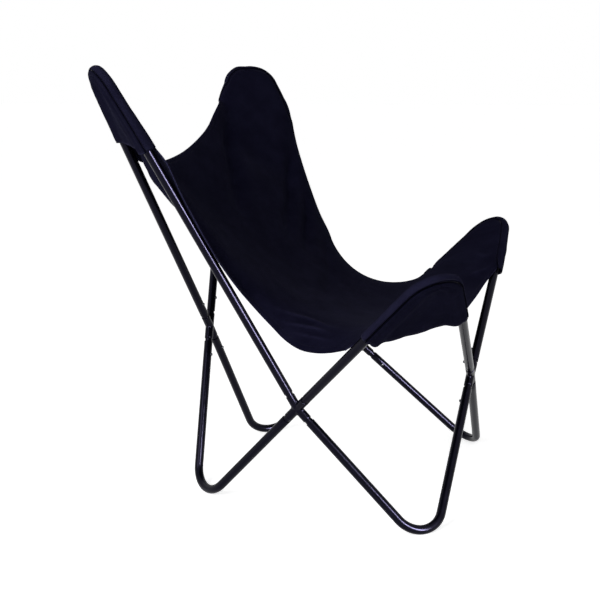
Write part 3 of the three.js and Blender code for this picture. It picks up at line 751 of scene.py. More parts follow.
class CHAIR_OT_buttons(bpy.types.Operator):
    """Makes the sixteen snap buttons and gives their leaf springs a finish"""

    bl_idname = "sling_chair.buttons"
    bl_label = "Snap buttons"

    def execute(self, context):
        """Turns each crowned button on the body that slides into the tube."""
        sizes = context.scene.chair_tube
        finish = context.scene.chair_finish
        plating = metal("dark_plating", finish.plating, 0.3, 700.0)
        spring = metal("spring_steel", finish.spring, 0.34, 500.0)
        crossings, bows = plan_bows(sizes.diameter / 2)
        for crossing in crossings.values():
            for bow, word, direction, facing in arms_of(crossing, bows):
                ending = f"{bow.name.replace('_bow', '')}_{word}"
                spot = button_spot(crossing, direction, sizes)
                bm = spun(self.profile(sizes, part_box(f"button_{ending}"), spot, facing),
                          basis(spot, facing, direction), BUTTON_SIDES)
                new_piece(f"snap_{ending}", mesh_from(bm, f"snap_{ending}", 50), plating,
                          body=f"button_{ending}_body",
                          replaced=[f"button_{ending}"])
                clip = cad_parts[f"clip_{ending}"]
                clip.data.materials.clear()
                clip.data.materials.append(spring)
        return {"FINISHED"}

    @staticmethod
    def profile(sizes, box, spot, facing):
        """Half the outline of a button, from the base that the solid's box gives to its crown."""
        middle = sum(box, Vector()) / 2
        radius, top = sizes.button_diameter / 2, sizes.diameter / 2 + sizes.button_proud
        base = 2 * (middle - Vector(spot)).dot(Vector(facing)) - top
        over = base + BUTTON_FLANGE
        points = [(0, base), (radius + BUTTON_FLANGE, base), (radius + BUTTON_FLANGE, over),
                  (radius, over), (radius, top - BUTTON_CROWN)]
        for step in range(1, CROWN_STEPS + 1):
            angle = math.pi / 2 * step / CROWN_STEPS
            points.append((radius * math.cos(angle),
                           top - BUTTON_CROWN + BUTTON_CROWN * math.sin(angle)))
        return points


def pocket_lines(bow, depths, slack):
    """Centres and outward directions round a pocket, from one mouth to the other."""
    centres, outwards = [], []

    def on_leg(index, share):
        """Adds the station at a share of the pocket's depth along a leg."""
        outward = bow.outward(bow.turn if index == 0 else -bow.turn)
        _, at_bend, at_mouth, between = slack[index]
        stand_off = at_bend + (at_mouth - at_bend) * math.sin(math.pi / 2 * share)
        stand_off += between * math.sin(math.pi * share)
        centre = bow.corner + bow.legs[index] * (bow.tangent + depths[index] * share)
        centres.append(centre + outward * stand_off)
        outwards.append(outward)

    for step in range(POCKET_LEG_STEPS, 0, -1):
        on_leg(0, step / POCKET_LEG_STEPS)
    for step in range(POCKET_BEND_STEPS + 1):
        turned = 2 * step / POCKET_BEND_STEPS
        outward = bow.outward(bow.turn * (1 - turned))
        from_tip = abs(1 - turned)
        at_tip, at_bend = slack[0 if turned < 1 else 1][:2]
        stand_off = at_tip + (at_bend - at_tip) * math.sin(math.pi / 2 * from_tip) ** SLACK_POWER
        centres.append(bow.centre + outward * (bow.radius + stand_off))
        outwards.append(outward)
    for step in range(1, POCKET_LEG_STEPS + 1):
        on_leg(1, step / POCKET_LEG_STEPS)
    return np.array(centres), np.array(outwards)


def wrapped(centres, outwards, normal, angle, radius):
    """Points round a tube at angles and radii, each one value or one for each station."""
    angle = np.broadcast_to(angle, len(centres))[:, None]
    radius = np.broadcast_to(radius, len(centres))[:, None]
    return centres + outwards * radius * np.cos(angle) + normal * radius * np.sin(angle)


def smooth_curve(points, samples):
    """A centripetal curve through points, with a number of samples for each span."""
    points = [np.asarray(p, float) for p in points]
    padded = [2 * points[0] - points[1], *points, 2 * points[-1] - points[-2]]
    total = (len(points) - 2) * samples
    line = []
    for step in range(total + 1):
        place = (len(points) - 1) * step / total
        index = min(int(place), len(points) - 2)
        weight = place - index
        p0, p1, p2, p3 = padded[index:index + 4]
        gaps = [max(np.linalg.norm(b - a) ** 0.5, 1e-4) for a, b in ((p0, p1), (p1, p2), (p2, p3))]
        out = (p1 - p0) / gaps[0] - (p2 - p0) / (gaps[0] + gaps[1]) + (p2 - p1) / gaps[1]
        into = (p2 - p1) / gaps[1] - (p3 - p1) / (gaps[1] + gaps[2]) + (p3 - p2) / gaps[2]
        out, into = out * gaps[1], into * gaps[1]
        cubic = (2 * p1 - 2 * p2 + out + into, -3 * p1 + 3 * p2 - 2 * out - into, out, p1)
        line.append(((cubic[0] * weight + cubic[1]) * weight + cubic[2]) * weight + cubic[3])
    return line


def lengths_along(line):
    """How far each point lies along a line, or down each column of a grid."""
    steps = np.linalg.norm(np.diff(line, axis=0), axis=-1)
    return np.concatenate([np.zeros_like(steps[:1]), np.cumsum(steps, axis=0)])


def at_length(line, lengths, wanted):
    """The values of a line at wanted lengths."""
    return np.stack([np.interp(wanted, lengths, np.asarray(line)[:, k]) for k in range(3)], axis=-1)


def ramp(value, low, high):
    """A soft step from 0 to 1 between two values."""
    share = np.clip((value - low) / (high - low), 0, 1)
    return share * share * (3 - 2 * share)


def doubled(distance, width):
    """1 where cloth is doubled beside a seam, and 0 past the seam's allowance."""
    return 1 - ramp(distance, width * SEAM_FULL, width)


def waves(points, scale, height):
    """Soft noise at points, as waves to a metre and their height."""
    return height * np.array([noise.noise(Vector(p) * scale) for p in points])


class Sling:
    """Every line and grid of the canvas, worked out once from the frame's bows."""

    def __init__(self, tube, sling):
        self.tube, self.sizes = tube, sling
        self.radius = tube.diameter / 2 + CLOTH_GAP + sling.cloth / 2
        _, self.bows = plan_bows(tube.diameter / 2)
        self.pockets = {}
        for side in SIDES:
            for end, depths in (("rear", REAR_DEPTHS[side]), ("front", FRONT_DEPTHS)):
                bow = self.bows[f"upper_bow_{end}_{side}"]
                lines = pocket_lines(bow, depths, SLACKS[f"{end}_{side}"])
                self.pockets[f"{end}_{side}"] = (bow, *lines)
        self.edges = {
            "side_right": self.edge("rear_right", self.side_hem("right"), "front_right", 0),
            "side_left": self.edge("rear_left", self.side_hem("left"), "front_left", 0),
            "rear": self.edge("rear_right", self.free_hem(REAR_HEM, REAR_TIP), "rear_left", 1),
            "front": self.edge("front_right", self.free_hem(FRONT_HEM, FRONT_TIP), "front_left", 1),
        }
        self.panel = self.hang()
        self.normals = grid_normals(self.panel)
        self.crumple()
        self.normals = grid_normals(self.panel)

    @staticmethod
    def free_hem(shares, size, sign=1):
        """Points of a free edge from shares of a tip's place."""
        return [mirrored((out * size[0], along * size[1], up * size[2]), sign)
                for out, along, up in shares]

    def beside_leg(self, bow, shares):
        """A point of a free edge beside the leg to a side crossing."""
        away, out, up = shares
        point = bow.corner + (bow.ends[0] - bow.corner) * away
        point = point + bow.outward(bow.turn) * out * self.tube.diameter
        return point + bow.sitter_side * up * self.tube.diameter

    def side_hem(self, side):
        """The free edge of one side, from the rear pocket to the front one."""
        rear, front = self.bows[f"upper_bow_rear_{side}"], self.bows[f"upper_bow_front_{side}"]
        return [
            *(self.beside_leg(rear, shares) for shares in REAR_LEG_HEMS[side]),
            *self.free_hem(LOW_HEMS[side], FRONT_TIP, SIDES[side]),
            *(self.beside_leg(front, shares) for shares in FRONT_LEG_HEMS[side]),
        ]

    def mouths(self, name):
        """For each of a pocket's mouths in MOUTHS: the stations' distances from it, its numbers."""
        lengths = lengths_along(self.pockets[name][1])
        for leg, from_mouth in enumerate((lengths, lengths[-1] - lengths)):
            if (name, leg) in MOUTHS:
                yield from_mouth, *MOUTHS[name, leg]

    def seam_angles(self, name):
        """The panel's edge round a pocket: an angle for each station, turned near some mouths."""
        angles = np.full(len(self.pockets[name][1]), EDGE_ANGLE)
        for from_mouth, turn, reach, _ in self.mouths(name):
            angles += (turn - EDGE_ANGLE) * (1 - np.clip(from_mouth / reach, 0, 1)) ** 2
        return angles

    def seam_lifts(self, name):
        """How far the panel's edge stands off a tube at each station of its pocket."""
        lifts = np.zeros(len(self.pockets[name][1]))
        for from_mouth, _, _, lift in self.mouths(name):
            lifts += lift * (1 - ramp(from_mouth, 0, LIFT_REACH))
        return lifts

    def tip_to_mouth(self, name, leg):
        """The panel's edge round one half of a pocket, from its tip to a mouth."""
        bow, centres, outwards = self.pockets[name]
        line = wrapped(centres, outwards, bow.sitter_side, self.seam_angles(name),
                       self.radius + self.seam_lifts(name))
        middle = (len(line) - 1) // 2
        return line[:middle + 1][::-1] if leg == 0 else line[middle:]

    def edge(self, first, hem, second, leg):
        """One edge of the panel: half of a pocket, the free hem, half of the next pocket."""
        one, two = self.tip_to_mouth(first, leg), self.tip_to_mouth(second, leg)[::-1]
        free = smooth_curve([one[-1], *hem, two[0]], HEM_SAMPLES)
        line = np.array([*one[:-1], *free, *two[1:]])
        lengths = lengths_along(line)
        even = np.arange(PANEL_CELLS + 1) / PANEL_CELLS
        shares = even - CROWD_SHARE * np.sin(2 * math.pi * even) / (2 * math.pi)
        return {
            "points": at_length(line, lengths, shares * lengths[-1]), "shares": shares,
            "start": lengths[len(one) - 1] / lengths[-1],
            "end": lengths[len(line) - len(two)] / lengths[-1],
        }

    def hang(self):
        """The held edges with an inside that settles among its neighbours under its weight."""
        side_a, side_b, rear, front = (edge["points"] for edge in self.edges.values())
        cells = PANEL_CELLS
        share = np.arange(cells + 1) / cells
        u, v = share[:, None, None], share[None, :, None]
        grid = (side_a[:, None] * (1 - v) + side_b[:, None] * v + rear[None] * (1 - u)
                + front[None] * u - rear[0] * (1 - u) * (1 - v) - rear[-1] * (1 - u) * v
                - front[0] * u * (1 - v) - front[-1] * u * v)
        pull = np.array((0, 0, self.sizes.sag / (SAG_SHARE * cells * cells)))
        rate = 2 / (1 + math.sin(math.pi / cells))
        rows, columns = np.indices((cells - 1, cells - 1))
        inner = grid[1:-1, 1:-1]
        for _ in range(3 * cells):
            for parity in (0, 1):
                around = (grid[:-2, 1:-1] + grid[2:, 1:-1] + grid[1:-1, :-2] + grid[1:-1, 2:]) / 4
                now = (rows + columns) % 2 == parity
                inner[now] += rate * (around - pull - inner)[now]
        return grid

    def point_at(self, u, v):
        """The panel's point nearest to shares of its length and width."""
        return self.panel[int(round(u * PANEL_CELLS)), int(round(v * PANEL_CELLS))]

    def crumple(self):
        """Lays the long soft folds and the short creases over the hanging panel."""
        flat = self.panel.reshape(-1, 3)
        lift, rubbed, dipped = (np.zeros(len(flat)) for _ in range(3))
        for fold in FOLDS:
            places, width, height = fold
            line = np.array(smooth_curve([self.point_at(*place) for place in places], FOLD_SAMPLES))
            nearest, share = np.full(len(flat), np.inf), np.zeros(len(flat))
            for index, (a, b) in enumerate(zip(line, line[1:])):
                span = b - a
                along = np.clip((flat - a) @ span / (span @ span), 0, 1)
                away = np.linalg.norm(flat - a - along[:, None] * span, axis=1)
                closer = away < nearest
                nearest[closer] = away[closer]
                share[closer] = (index + along[closer]) / (len(line) - 1)
            inside = np.sin(math.pi * np.clip(share, 0.02, 0.98)) ** FOLD_ENDS
            raised = dipped if fold is LEG_DIP else lift
            raised += height * inside * np.exp(-((nearest / width) ** 2))
            # Narrow raised folds get a painted highlight along their tops, gathered in rubbed
            if height > 0 and width < FOLD_HIGHLIGHT_WIDTH:
                top = np.exp(-((nearest / width * FOLD_HIGHLIGHT_NARROWER) ** 2))
                rubbed = np.maximum(rubbed, inside * top)
        for scale, height in PANEL_WAVES:
            lift += waves(flat, scale, height)
        share = np.arange(PANEL_CELLS + 1) / PANEL_CELLS
        fades = (np.minimum(np.minimum(share, 1 - share) * parts, 1) for parts in FADE_PARTS)
        held, held_close = (np.outer(fade, fade).reshape(-1) for fade in fades)
        lift = lift * held + dipped * held_close
        shift = self.normals.reshape(-1, 3) * lift[:, None]
        self.panel = (flat + shift).reshape(self.panel.shape)
        # For the panel this holds only the painted highlight along narrow fold tops
        self.wear = FOLD_HIGHLIGHT_SHARE * (rubbed * held).reshape(self.panel.shape[:2])

    def parts(self, edge):
        """Which lines of the panel start on the free part of an edge, and on its two sewn ones."""
        spans = self.edges[edge]
        first, last = spans["shares"] <= spans["start"], spans["shares"] >= spans["end"]
        return ~(first | last), first, last

    @staticmethod
    def seen_from(edge, grid):
        """The same grid turned so that one edge of the panel is its first column."""
        turned = {"side_right": grid, "side_left": grid[:, ::-1], "rear": grid.swapaxes(0, 1),
                  "front": grid[::-1].swapaxes(0, 1)}
        return turned[edge]

    def beside_seams(self, width):
        """1 where the panel is doubled along its pocket seams, and 0 elsewhere."""
        beside = np.zeros(self.panel.shape[:2])
        for edge in self.edges:
            points = self.seen_from(edge, self.panel)[:, :SEAM_LINES]
            marks = self.seen_from(edge, beside)[:, :SEAM_LINES]
            inward = lengths_along(points.swapaxes(0, 1)).T
            marks[:] = np.maximum(marks, doubled(inward, width) * ~self.parts(edge)[0][:, None])
        return beside

    def inward_line(self, edge, distances):
        """Points and normals at distances inside one edge, for each line of the panel from it."""
        places, facings = [], []
        for line, facing in zip(self.seen_from(edge, self.panel)[:, :HEM_LINES],
                                self.seen_from(edge, self.normals)[:, :HEM_LINES]):
            lengths = lengths_along(line)
            places.append(at_length(line, lengths, distances))
            facings.append(at_length(facing, lengths, distances))
        return np.array(places), np.array(facings)


def grid_normals(grid):
    """The normal of a grid of points at each of them."""
    down, over = np.gradient(grid, axis=0), np.gradient(grid, axis=1)
    cross = np.cross(down, over)
    return cross / np.maximum(np.linalg.norm(cross, axis=2, keepdims=True), 1e-12)


def store_wear_and_painted_light(mesh, values):
    """Stores each point's rub, painted highlight (above zero) and painted shade (below zero)."""
    mesh.attributes.new("wear", "FLOAT", "POINT").data.foreach_set(
        "value", values.reshape(-1).astype(np.float32))


def cloth_mesh(name, grid, thickness, uv, wear):
    """A closed sheet of cloth on a grid of points, with a rounded rim and its own UV map."""
    rows, columns = grid.shape[:2]
    normals = grid_normals(grid)
    half = normals * thickness[..., None] / 2
    top, bottom = (grid + half).reshape(-1, 3), (grid - half).reshape(-1, 3)
    at = np.arange(rows * columns).reshape(rows, columns)
    loop = np.concatenate([at[0, :-1], at[:-1, -1], at[-1, :0:-1], at[:0:-1, 0]])
    border = grid.reshape(-1, 3)[loop]
    ahead = np.roll(border, -1, axis=0) - np.roll(border, 1, axis=0)
    outward = np.cross(ahead, normals.reshape(-1, 3)[loop])
    outward /= np.maximum(np.linalg.norm(outward, axis=1, keepdims=True), 1e-12)
    inner = grid[1:-1, 1:-1].reshape(-1, 3).mean(axis=0)
    if float(((border - inner) * outward).sum()) < 0:
        outward = -outward
    rim = border + outward * thickness.reshape(-1)[loop, None] * RIM_BULGE
    count = rows * columns
    quads = np.stack([at[:-1, :-1], at[1:, :-1], at[1:, 1:], at[:-1, 1:]], axis=-1).reshape(-1, 4)
    after, ring = np.roll(loop, -1), 2 * count + np.arange(len(loop))
    ring_after = np.roll(ring, -1)
    faces = np.concatenate([
        quads, quads[:, ::-1] + count,
        np.stack([loop, after, ring_after, ring], axis=-1),
        np.stack([ring, ring_after, after + count, loop + count], axis=-1),
    ])
    mesh = bpy.data.meshes.new(name)
    mesh.from_pydata(np.concatenate([top, bottom, rim]).tolist(), [], faces.tolist())
    flat = uv.reshape(-1, 2)
    per_vertex = np.concatenate([flat, flat, flat[loop]])
    layer = mesh.uv_layers.new(name="cloth")
    layer.data.foreach_set("uv", per_vertex[faces.reshape(-1)].astype(np.float32).ravel())
    wear = wear.reshape(-1)
    store_wear_and_painted_light(mesh, np.concatenate([wear, wear, wear[loop]]))
    bm = bmesh.new()
    bm.from_mesh(mesh)
    turn_outward(bm)
    bm.to_mesh(mesh)
    bm.free()
    mesh.shade_smooth()
    return mesh


def surface_uv(grid):
    """UV in metres: the lengths across the columns and down the rows, from the middle."""
    rows, columns = grid.shape[:2]
    down, over = lengths_along(grid), lengths_along(grid.swapaxes(0, 1)).T
    return np.stack([over - over[:, columns // 2][:, None], down - down[rows // 2]], axis=-1)


def band_grid(sling, name):
    """The strip over the tube, and how far its lines lie from its two seams."""
    bow, centres, outwards = sling.pockets[name]
    low, high = FLAP_EDGE + SEAM_LINE, sling.seam_angles(name) - SEAM_LINE
    share = np.arange(WRAP_STEPS + 1) / WRAP_STEPS
    angles = high[:, None] * (1 - share) + low * share
    radii = sling.radius + sling.seam_lifts(name)[:, None] * ramp(angles, *LIFT_TURN)
    grid = np.stack([wrapped(centres, outwards, bow.sitter_side, angles[:, column],
                             radii[:, column]) for column in range(WRAP_STEPS + 1)], axis=1)
    return grid, angles, np.minimum(high[:, None] - angles, angles - low) * sling.radius


def flap_grid(sling, name):
    """The outer flap: it lies over the tube from its seams, swells and then dips in between."""
    bow, centres, outwards = sling.pockets[name]
    last = len(centres) - 1
    turn = np.arange(FLAP_WRAP_STEPS + 1) / FLAP_WRAP_STEPS
    arc = FLAP_EDGE + (FLAP_LEAVES - FLAP_EDGE) * turn
    puffed = sling.radius + FLAP_PUFF * np.sin(math.pi / 2 * turn)
    share = np.arange(FLAP_STEPS + 1) / FLAP_STEPS
    places = np.arange(last + 1)
    rows = []
    for rung in (*range(last // 2), last / 2 - TIP_RUNG):
        sides = []
        for place in (rung, last - rung):
            centre = np.tile(at_length(centres, places, place), (len(arc), 1))
            outward = unit(at_length(outwards, places, place))
            sides.append((wrapped(centre, outward, bow.sitter_side, arc, puffed), outward))
        (first, out_a), (second, out_b) = sides
        one, two = first[-1], second[-1]
        from_leg = np.minimum(share, 1 - share) * np.linalg.norm(two - one)
        deep = ramp(1 - 2 * rung / last, 0, DIP_FADE)
        swell = FLAP_SWELL * np.exp(-(((from_leg - SWELL_PLACE) / SWELL_WIDTH) ** 2))
        dip = FLAP_DIP * ramp(from_leg, *DIP_SPAN) - swell * ramp(from_leg, 0, SWELL_START)
        row = one + (two - one) * share[:, None] + bow.sitter_side * (dip * deep)[:, None]
        droop = FLAP_DROOPS[name.split("_")[0]] * max(0.0, 1 - rung / DROOP_RUNGS) ** 2
        row = row - unit(out_a + out_b) * (droop * np.sin(math.pi * share ** DROOP_LEAN))[:, None]
        rows.append(np.concatenate([first[:-1], row, second[-2::-1]]))
    grid = np.array(rows)
    count = grid.shape[1]
    lift = FLAP_WRINKLE * np.array([
        [noise.noise(Vector((x - y, y, bow.radius * WRINKLE_SHIFT)))
         for x in np.linspace(0, WRINKLES_ACROSS, count)]
        for y in np.linspace(0, WRINKLES_DOWN, len(grid))])
    lift += waves(grid.reshape(-1, 3), *FINE_WRINKLE).reshape(lift.shape)
    from_side = np.minimum(np.arange(count), np.arange(count)[::-1]) - FLAP_WRAP_STEPS
    held = np.clip(from_side / WRINKLE_EASE, 0, 1)
    return grid + grid_normals(grid) * (lift * held)[..., None]


class CHAIR_OT_sling(bpy.types.Operator):
    """Makes the panel, the corner bands, the pocket flaps, the hems and the stitches"""

    bl_idname = "sling_chair.sling"
    bl_label = "Canvas sling"

    def execute(self, context):
        """Hangs the panel in its pockets and sews the rest of the sling to it."""
        sizes, tube = context.scene.chair_sling, context.scene.chair_tube
        sling = Sling(tube, sizes)
        canvas = canvas_cloth()
        others = []
        for name in sling.pockets:
            others += [self.band(sling, name, canvas), self.flap(sling, name, canvas)]
        for edge in sling.edges:
            others.append(self.hem(sling, edge, canvas))
        thickness = sizes.cloth * (1 + SEAM_EXTRA * sling.beside_seams(sizes.seam))
        mesh = cloth_mesh("canvas_panel", sling.panel, thickness, surface_uv(sling.panel),
                          sling.wear)
        panel = new_piece("canvas_panel", mesh, canvas, replaced=["sling_panel"])
        others += self.stitches(sling)
        return {"FINISHED"}

    def band(self, sling, name, canvas):
        """The strip over a bent tip, a little bumpy and rubbed along its outer side, with painted
        shade at its open seams.
        """
        sizes = sling.sizes
        grid, angles, beside = band_grid(sling, name)
        lengths = lengths_along(grid[:, WRAP_STEPS // 2])
        from_mouth = np.minimum(lengths, lengths[-1] - lengths)
        hem = 1 - ramp(from_mouth, *BAND_MOUTH)
        extra = np.maximum(hem[:, None], doubled(beside, sizes.seam))
        thickness = sizes.cloth * (1 + SEAM_EXTRA * extra)
        normals = grid_normals(grid)
        away = ((grid - sling.pockets[name][1][:, None]) * normals).sum(axis=2, keepdims=True)
        points = grid.reshape(-1, 3)
        lift = BAND_LIFT + waves(points, *BAND_WRINKLE) + np.maximum(waves(points, *BAND_BUMP), 0)
        between = np.sin(math.pi * np.linspace(0, 1, WRAP_STEPS + 1)) ** 0.5
        grid = grid + normals * np.sign(away) * (lift.reshape(angles.shape) * between)[..., None]
        # Rubbed paler along the outer side; the higher amount on front_right is a painted highlight
        wear = BAND_RUBS_AND_HIGHLIGHTS[name] * np.exp(-((angles / RUB_ANGLE) ** 2))
        # Painted shade along the open seams, stored as values below zero
        wear -= self.painted_seam_shade(name, beside)
        mesh = cloth_mesh(f"band_{name}", grid, thickness, surface_uv(grid), wear)
        return new_piece(f"wrap_{name}", mesh, canvas,
                         replaced=[f"corner_band_{name}"])

    def flap(self, sling, name, canvas):
        """The outer side of a pocket, doubled along its seams and its mouth."""
        grid = flap_grid(sling, name)
        uv = surface_uv(grid)
        from_side = np.minimum(uv[..., 0] - uv[:, :1, 0], uv[:, -1:, 0] - uv[..., 0])
        from_mouth = np.abs(uv[..., 1] - uv[:1, :, 1])
        extra = np.maximum(doubled(from_side, sling.sizes.seam), 1 - ramp(from_mouth, *FLAP_MOUTH))
        thickness = sling.sizes.cloth * (1 + FLAP_EXTRA * extra)
        wear = MOUTH_RUB * (1 - ramp(from_mouth, 0, MOUTH_RUB_REACH))
        # Rubbed paler at the mouth, with painted shade along the open seams as values below zero
        wear = wear * ramp(from_side, 0, MOUTH_RUB_START) - self.painted_seam_shade(name, from_side)
        mesh = cloth_mesh(f"flap_{name}", grid, thickness, uv, wear)
        return new_piece(f"flap_{name}", mesh, canvas,
                         replaced=[f"pocket_flap_{name}"])

    @staticmethod
    def painted_seam_shade(name, distance):
        """How dark the painted shade is at a distance from the open seam of a pocket."""
        return SEAM_PAINTED_SHADES[name] * (1 - ramp(distance, *SEAM_SHADE_SPAN))

    def hem(self, sling, edge, canvas):
        """A hem folded under the panel: a flat band with a round fold at the free edge."""
        cloth = sling.sizes.cloth
        deep, over = cloth * HEM_DEPTH, cloth / 2 + HEM_GAP
        reach = (deep + cloth / 2) / 2
        turns = math.pi / 2 - math.pi * np.arange(1, FOLD_STEPS + 1)[:, None] / FOLD_STEPS
        places, facings = sling.inward_line(edge, (*HEM_PLACES, sling.sizes.hem_width))
        free = sling.parts(edge)[0]
        rows = []
        for line, facing in zip(places[free], facings[free]):
            facing = facing / np.linalg.norm(facing, axis=1)[:, None]
            out, up = unit(line[0] - line[1]), facing[0]
            middle = line[0] - up * (deep - cloth / 2) / 2
            fold = middle + up * reach * np.sin(turns) + out * reach * np.cos(turns)
            rows.append([*(line - facing * over)[::-1], line[0] + up * over, *fold,
                         *(line - facing * deep)[1:]])
        grid = np.array(rows)
        bm = bmesh.new()
        verts = [[bm.verts.new(p) for p in row] for row in grid]
        for row, after in zip(verts, verts[1:]):
            for k in range(len(row)):
                bm.faces.new((row[k], row[k - 1], after[k - 1], after[k]))
        bm.faces.new(verts[0])
        bm.faces.new(verts[-1][::-1])
        turn_outward(bm)
        lengths, around = lengths_along(grid[:, 0]), lengths_along(grid[len(grid) // 2])
        layer = bm.loops.layers.uv.new("cloth")
        bm.verts.index_update()
        for face in bm.faces:
            for loop in face.loops:
                row, column = divmod(loop.vert.index, grid.shape[1])
                loop[layer].uv = (lengths[row], around[column])
        mesh = mesh_from(bm, f"hem_{edge}", 50)
        wear = np.zeros(grid.shape[:2])
        start = len(HEM_PLACES) + 1
        wear[:, start:start + 1 + FOLD_STEPS] = HEM_RUB
        store_wear_and_painted_light(mesh, wear)
        return new_piece(f"fold_{edge}", mesh, canvas, replaced=[f"hem_{edge}"])

    def stitches(self, sling):
        """Rows of stitches along the hems, the seams and the mouths of the pockets."""
        cloth = sling.sizes.cloth
        runs = {"hems": [], "wraps": [], "flaps": []}
        for edge in sling.edges:
            free, *ends = sling.parts(edge)
            for name, inside, chosen, skipped in (
                ("hems", sling.sizes.hem_width - HEM_ROW, free, 0),
                *(("wraps", PANEL_ROW, end, 2) for end in ends),
            ):
                places, facings = sling.inward_line(edge, (inside,))
                kept = slice(skipped, int(chosen.sum()) - skipped)
                line, facing = places[chosen][kept, 0], facings[chosen][kept, 0]
                runs[name].append((line + facing * cloth / 2, facing))
        inside = SEAM_LINE + SEAM_ROW / sling.radius
        for name, (bow, centres, outwards) in sling.pockets.items():
            for angle, lift in ((sling.seam_angles(name) - inside, sling.seam_lifts(name)),
                                (FLAP_EDGE + inside, 0)):
                raised = sling.radius + lift + cloth * BAND_ROW_HEIGHT
                line = wrapped(centres, outwards, bow.sitter_side, angle, raised)
                facing = line - centres
                runs["wraps"].append((line, facing / np.linalg.norm(facing, axis=1)[:, None]))
            grid = flap_grid(sling, name)
            normals = grid_normals(grid)
            normals *= -np.sign((normals * bow.sitter_side).sum())
            uv = surface_uv(grid)
            from_mouth = np.abs(uv[..., 1] - uv[:1, :, 1]).mean(axis=1)
            row = int(np.argmin(np.abs(from_mouth - MOUTH_ROW)))
            facing = normals[row, 1:-1]
            runs["flaps"].append((grid[row, 1:-1] + facing * cloth * FLAP_ROW_HEIGHT, facing))
        thread = sewing_thread()
        return [new_piece(f"stitching_{name}",
                          mesh_from(sewn(lines, sling.sizes), f"stitching_{name}", 180),
                          thread) for name, lines in runs.items()]


def sewn(lines, sizes):
    """Rows of short stitches, each a small rounded length of thread half sunk in the cloth."""
    model = bmesh.new()
    bmesh.ops.create_uvsphere(model, u_segments=6, v_segments=5, radius=0.5)
    stitch = bpy.data.meshes.new("stitch")
    bmesh.ops.scale(model, vec=(sizes.thread, sizes.thread, sizes.stitch), verts=model.verts[:])
    model.to_mesh(stitch)
    model.free()
    bm = bmesh.new()
    pitch = sizes.stitch * STITCH_PITCH
    for line, facing in lines:
        lengths = lengths_along(line)
        places = np.arange(pitch, lengths[-1] - pitch, pitch)
        points, ups = at_length(line, lengths, places), at_length(facing, lengths, places)
        ahead = at_length(line, lengths, places + pitch / 4) - points
        for point, up, direction in zip(points, ups, ahead):
            placed = basis(point, direction, np.cross(up, direction))
            stitch.transform(placed)
            bm.from_mesh(stitch)
            stitch.transform(placed.inverted())
    bpy.data.meshes.remove(stitch)
    return bm


def fill(tree, made, inputs):
    """Gives the inputs of a node plain values, or joins them to other nodes."""
    for key, value in inputs.items():
        if isinstance(value, bpy.types.NodeSocket):
            tree.links.new(value, made.inputs[key])
        else:
            made.inputs[key].default_value = value


def node(tree, kind, inputs, output=0, **settings):
    """A new node with its inputs and settings. It gives back one of its outputs."""
    made = tree.nodes.new(kind)
    for key, value in settings.items():
        setattr(made, key, value)
    fill(tree, made, inputs)
    return made.outputs[output]


def calc(tree, operation, first, second):
    """One step of arithmetic on two outputs or values."""
    return node(tree, "ShaderNodeMath", {0: first, 1: second}, operation=operation)


def blended(tree, share, first, second):
    """A mix of two colours, each an output or a value."""
    return node(tree, "ShaderNodeMix", {0: share, 6: first, 7: second}, 2, data_type="RGBA")


def mapped(tree, value, low, high, to_low, to_high):
    """A value taken from one range to another, and kept inside it."""
    return node(tree, "ShaderNodeMapRange", {
        "Value": value, "From Min": low, "From Max": high, "To Min": to_low, "To Max": to_high})


def specks(tree, place, scale, detail, roughness=0.5):
    """Noise from 0 to 1 that is finer with a greater scale."""
    return node(tree, "ShaderNodeTexNoise", {
        "Vector": place, "Scale": scale, "Detail": detail, "Roughness": roughness}, "Fac")


def bumped(tree, height, strength, distance, **under):
    """A bump by a height, on top of another one where it is given."""
    return node(tree, "ShaderNodeBump", {
        "Strength": strength, "Distance": distance, "Height": height, **under}, "Normal")


def on_object(tree):
    """The place on the object itself, in metres."""
    return node(tree, "ShaderNodeTexCoord", {}, "Object")


def tinted(colour, factor=1.0):
    """A colour made lighter or darker by a factor, fully opaque."""
    return (*(factor * channel for channel in colour), 1)


def new_finish(name):
    """A new material, its node tree and its shader."""
    material = bpy.data.materials.new(name)
    material.use_nodes = True
    tree = material.node_tree
    return material, tree, tree.nodes["Principled BSDF"]


def steel_coat():
    """Satin black powder coat with a fine orange peel and faint rubs."""
    made = bpy.data.materials.get("satin_coat")
    if made:
        return made
    made, tree, shader = new_finish("satin_coat")
    colour = bpy.context.scene.chair_finish.steel
    place = on_object(tree)
    rubs = specks(tree, place, 38.0, 5.0, 0.65)
    rub = mapped(tree, rubs, 0.58, 0.78, 0.0, 1.0)
    fill(tree, shader, {
        "Base Color": blended(tree, rub, tinted(colour), tinted(colour, 2.2)),
        "Roughness": mapped(tree, rubs, 0.3, 0.7, 0.16, 0.26),
        "Normal": bumped(tree, specks(tree, place, 900.0, 2.0), 0.12, 0.0002),
        "Specular IOR Level": 0.10, "Specular Tint": (0.62, 0.58, 1.0, 1),
    })
    return made


def metal(name, colour, roughness, scale):
    """Bare or plated metal with fine scratches along one direction."""
    made, tree, shader = new_finish(name)
    stretched = node(tree, "ShaderNodeMapping", {"Vector": on_object(tree),
                                                 "Scale": (1.0, 1.0, 8.0)})
    grain = specks(tree, stretched, scale, 4.0)
    fill(tree, shader, {
        "Base Color": blended(tree, grain, tinted(colour, 0.72), tinted(colour)),
        "Roughness": mapped(tree, grain, 0.3, 0.7, roughness - 0.06, roughness + 0.1),
        "Metallic": 1.0,
    })
    return made


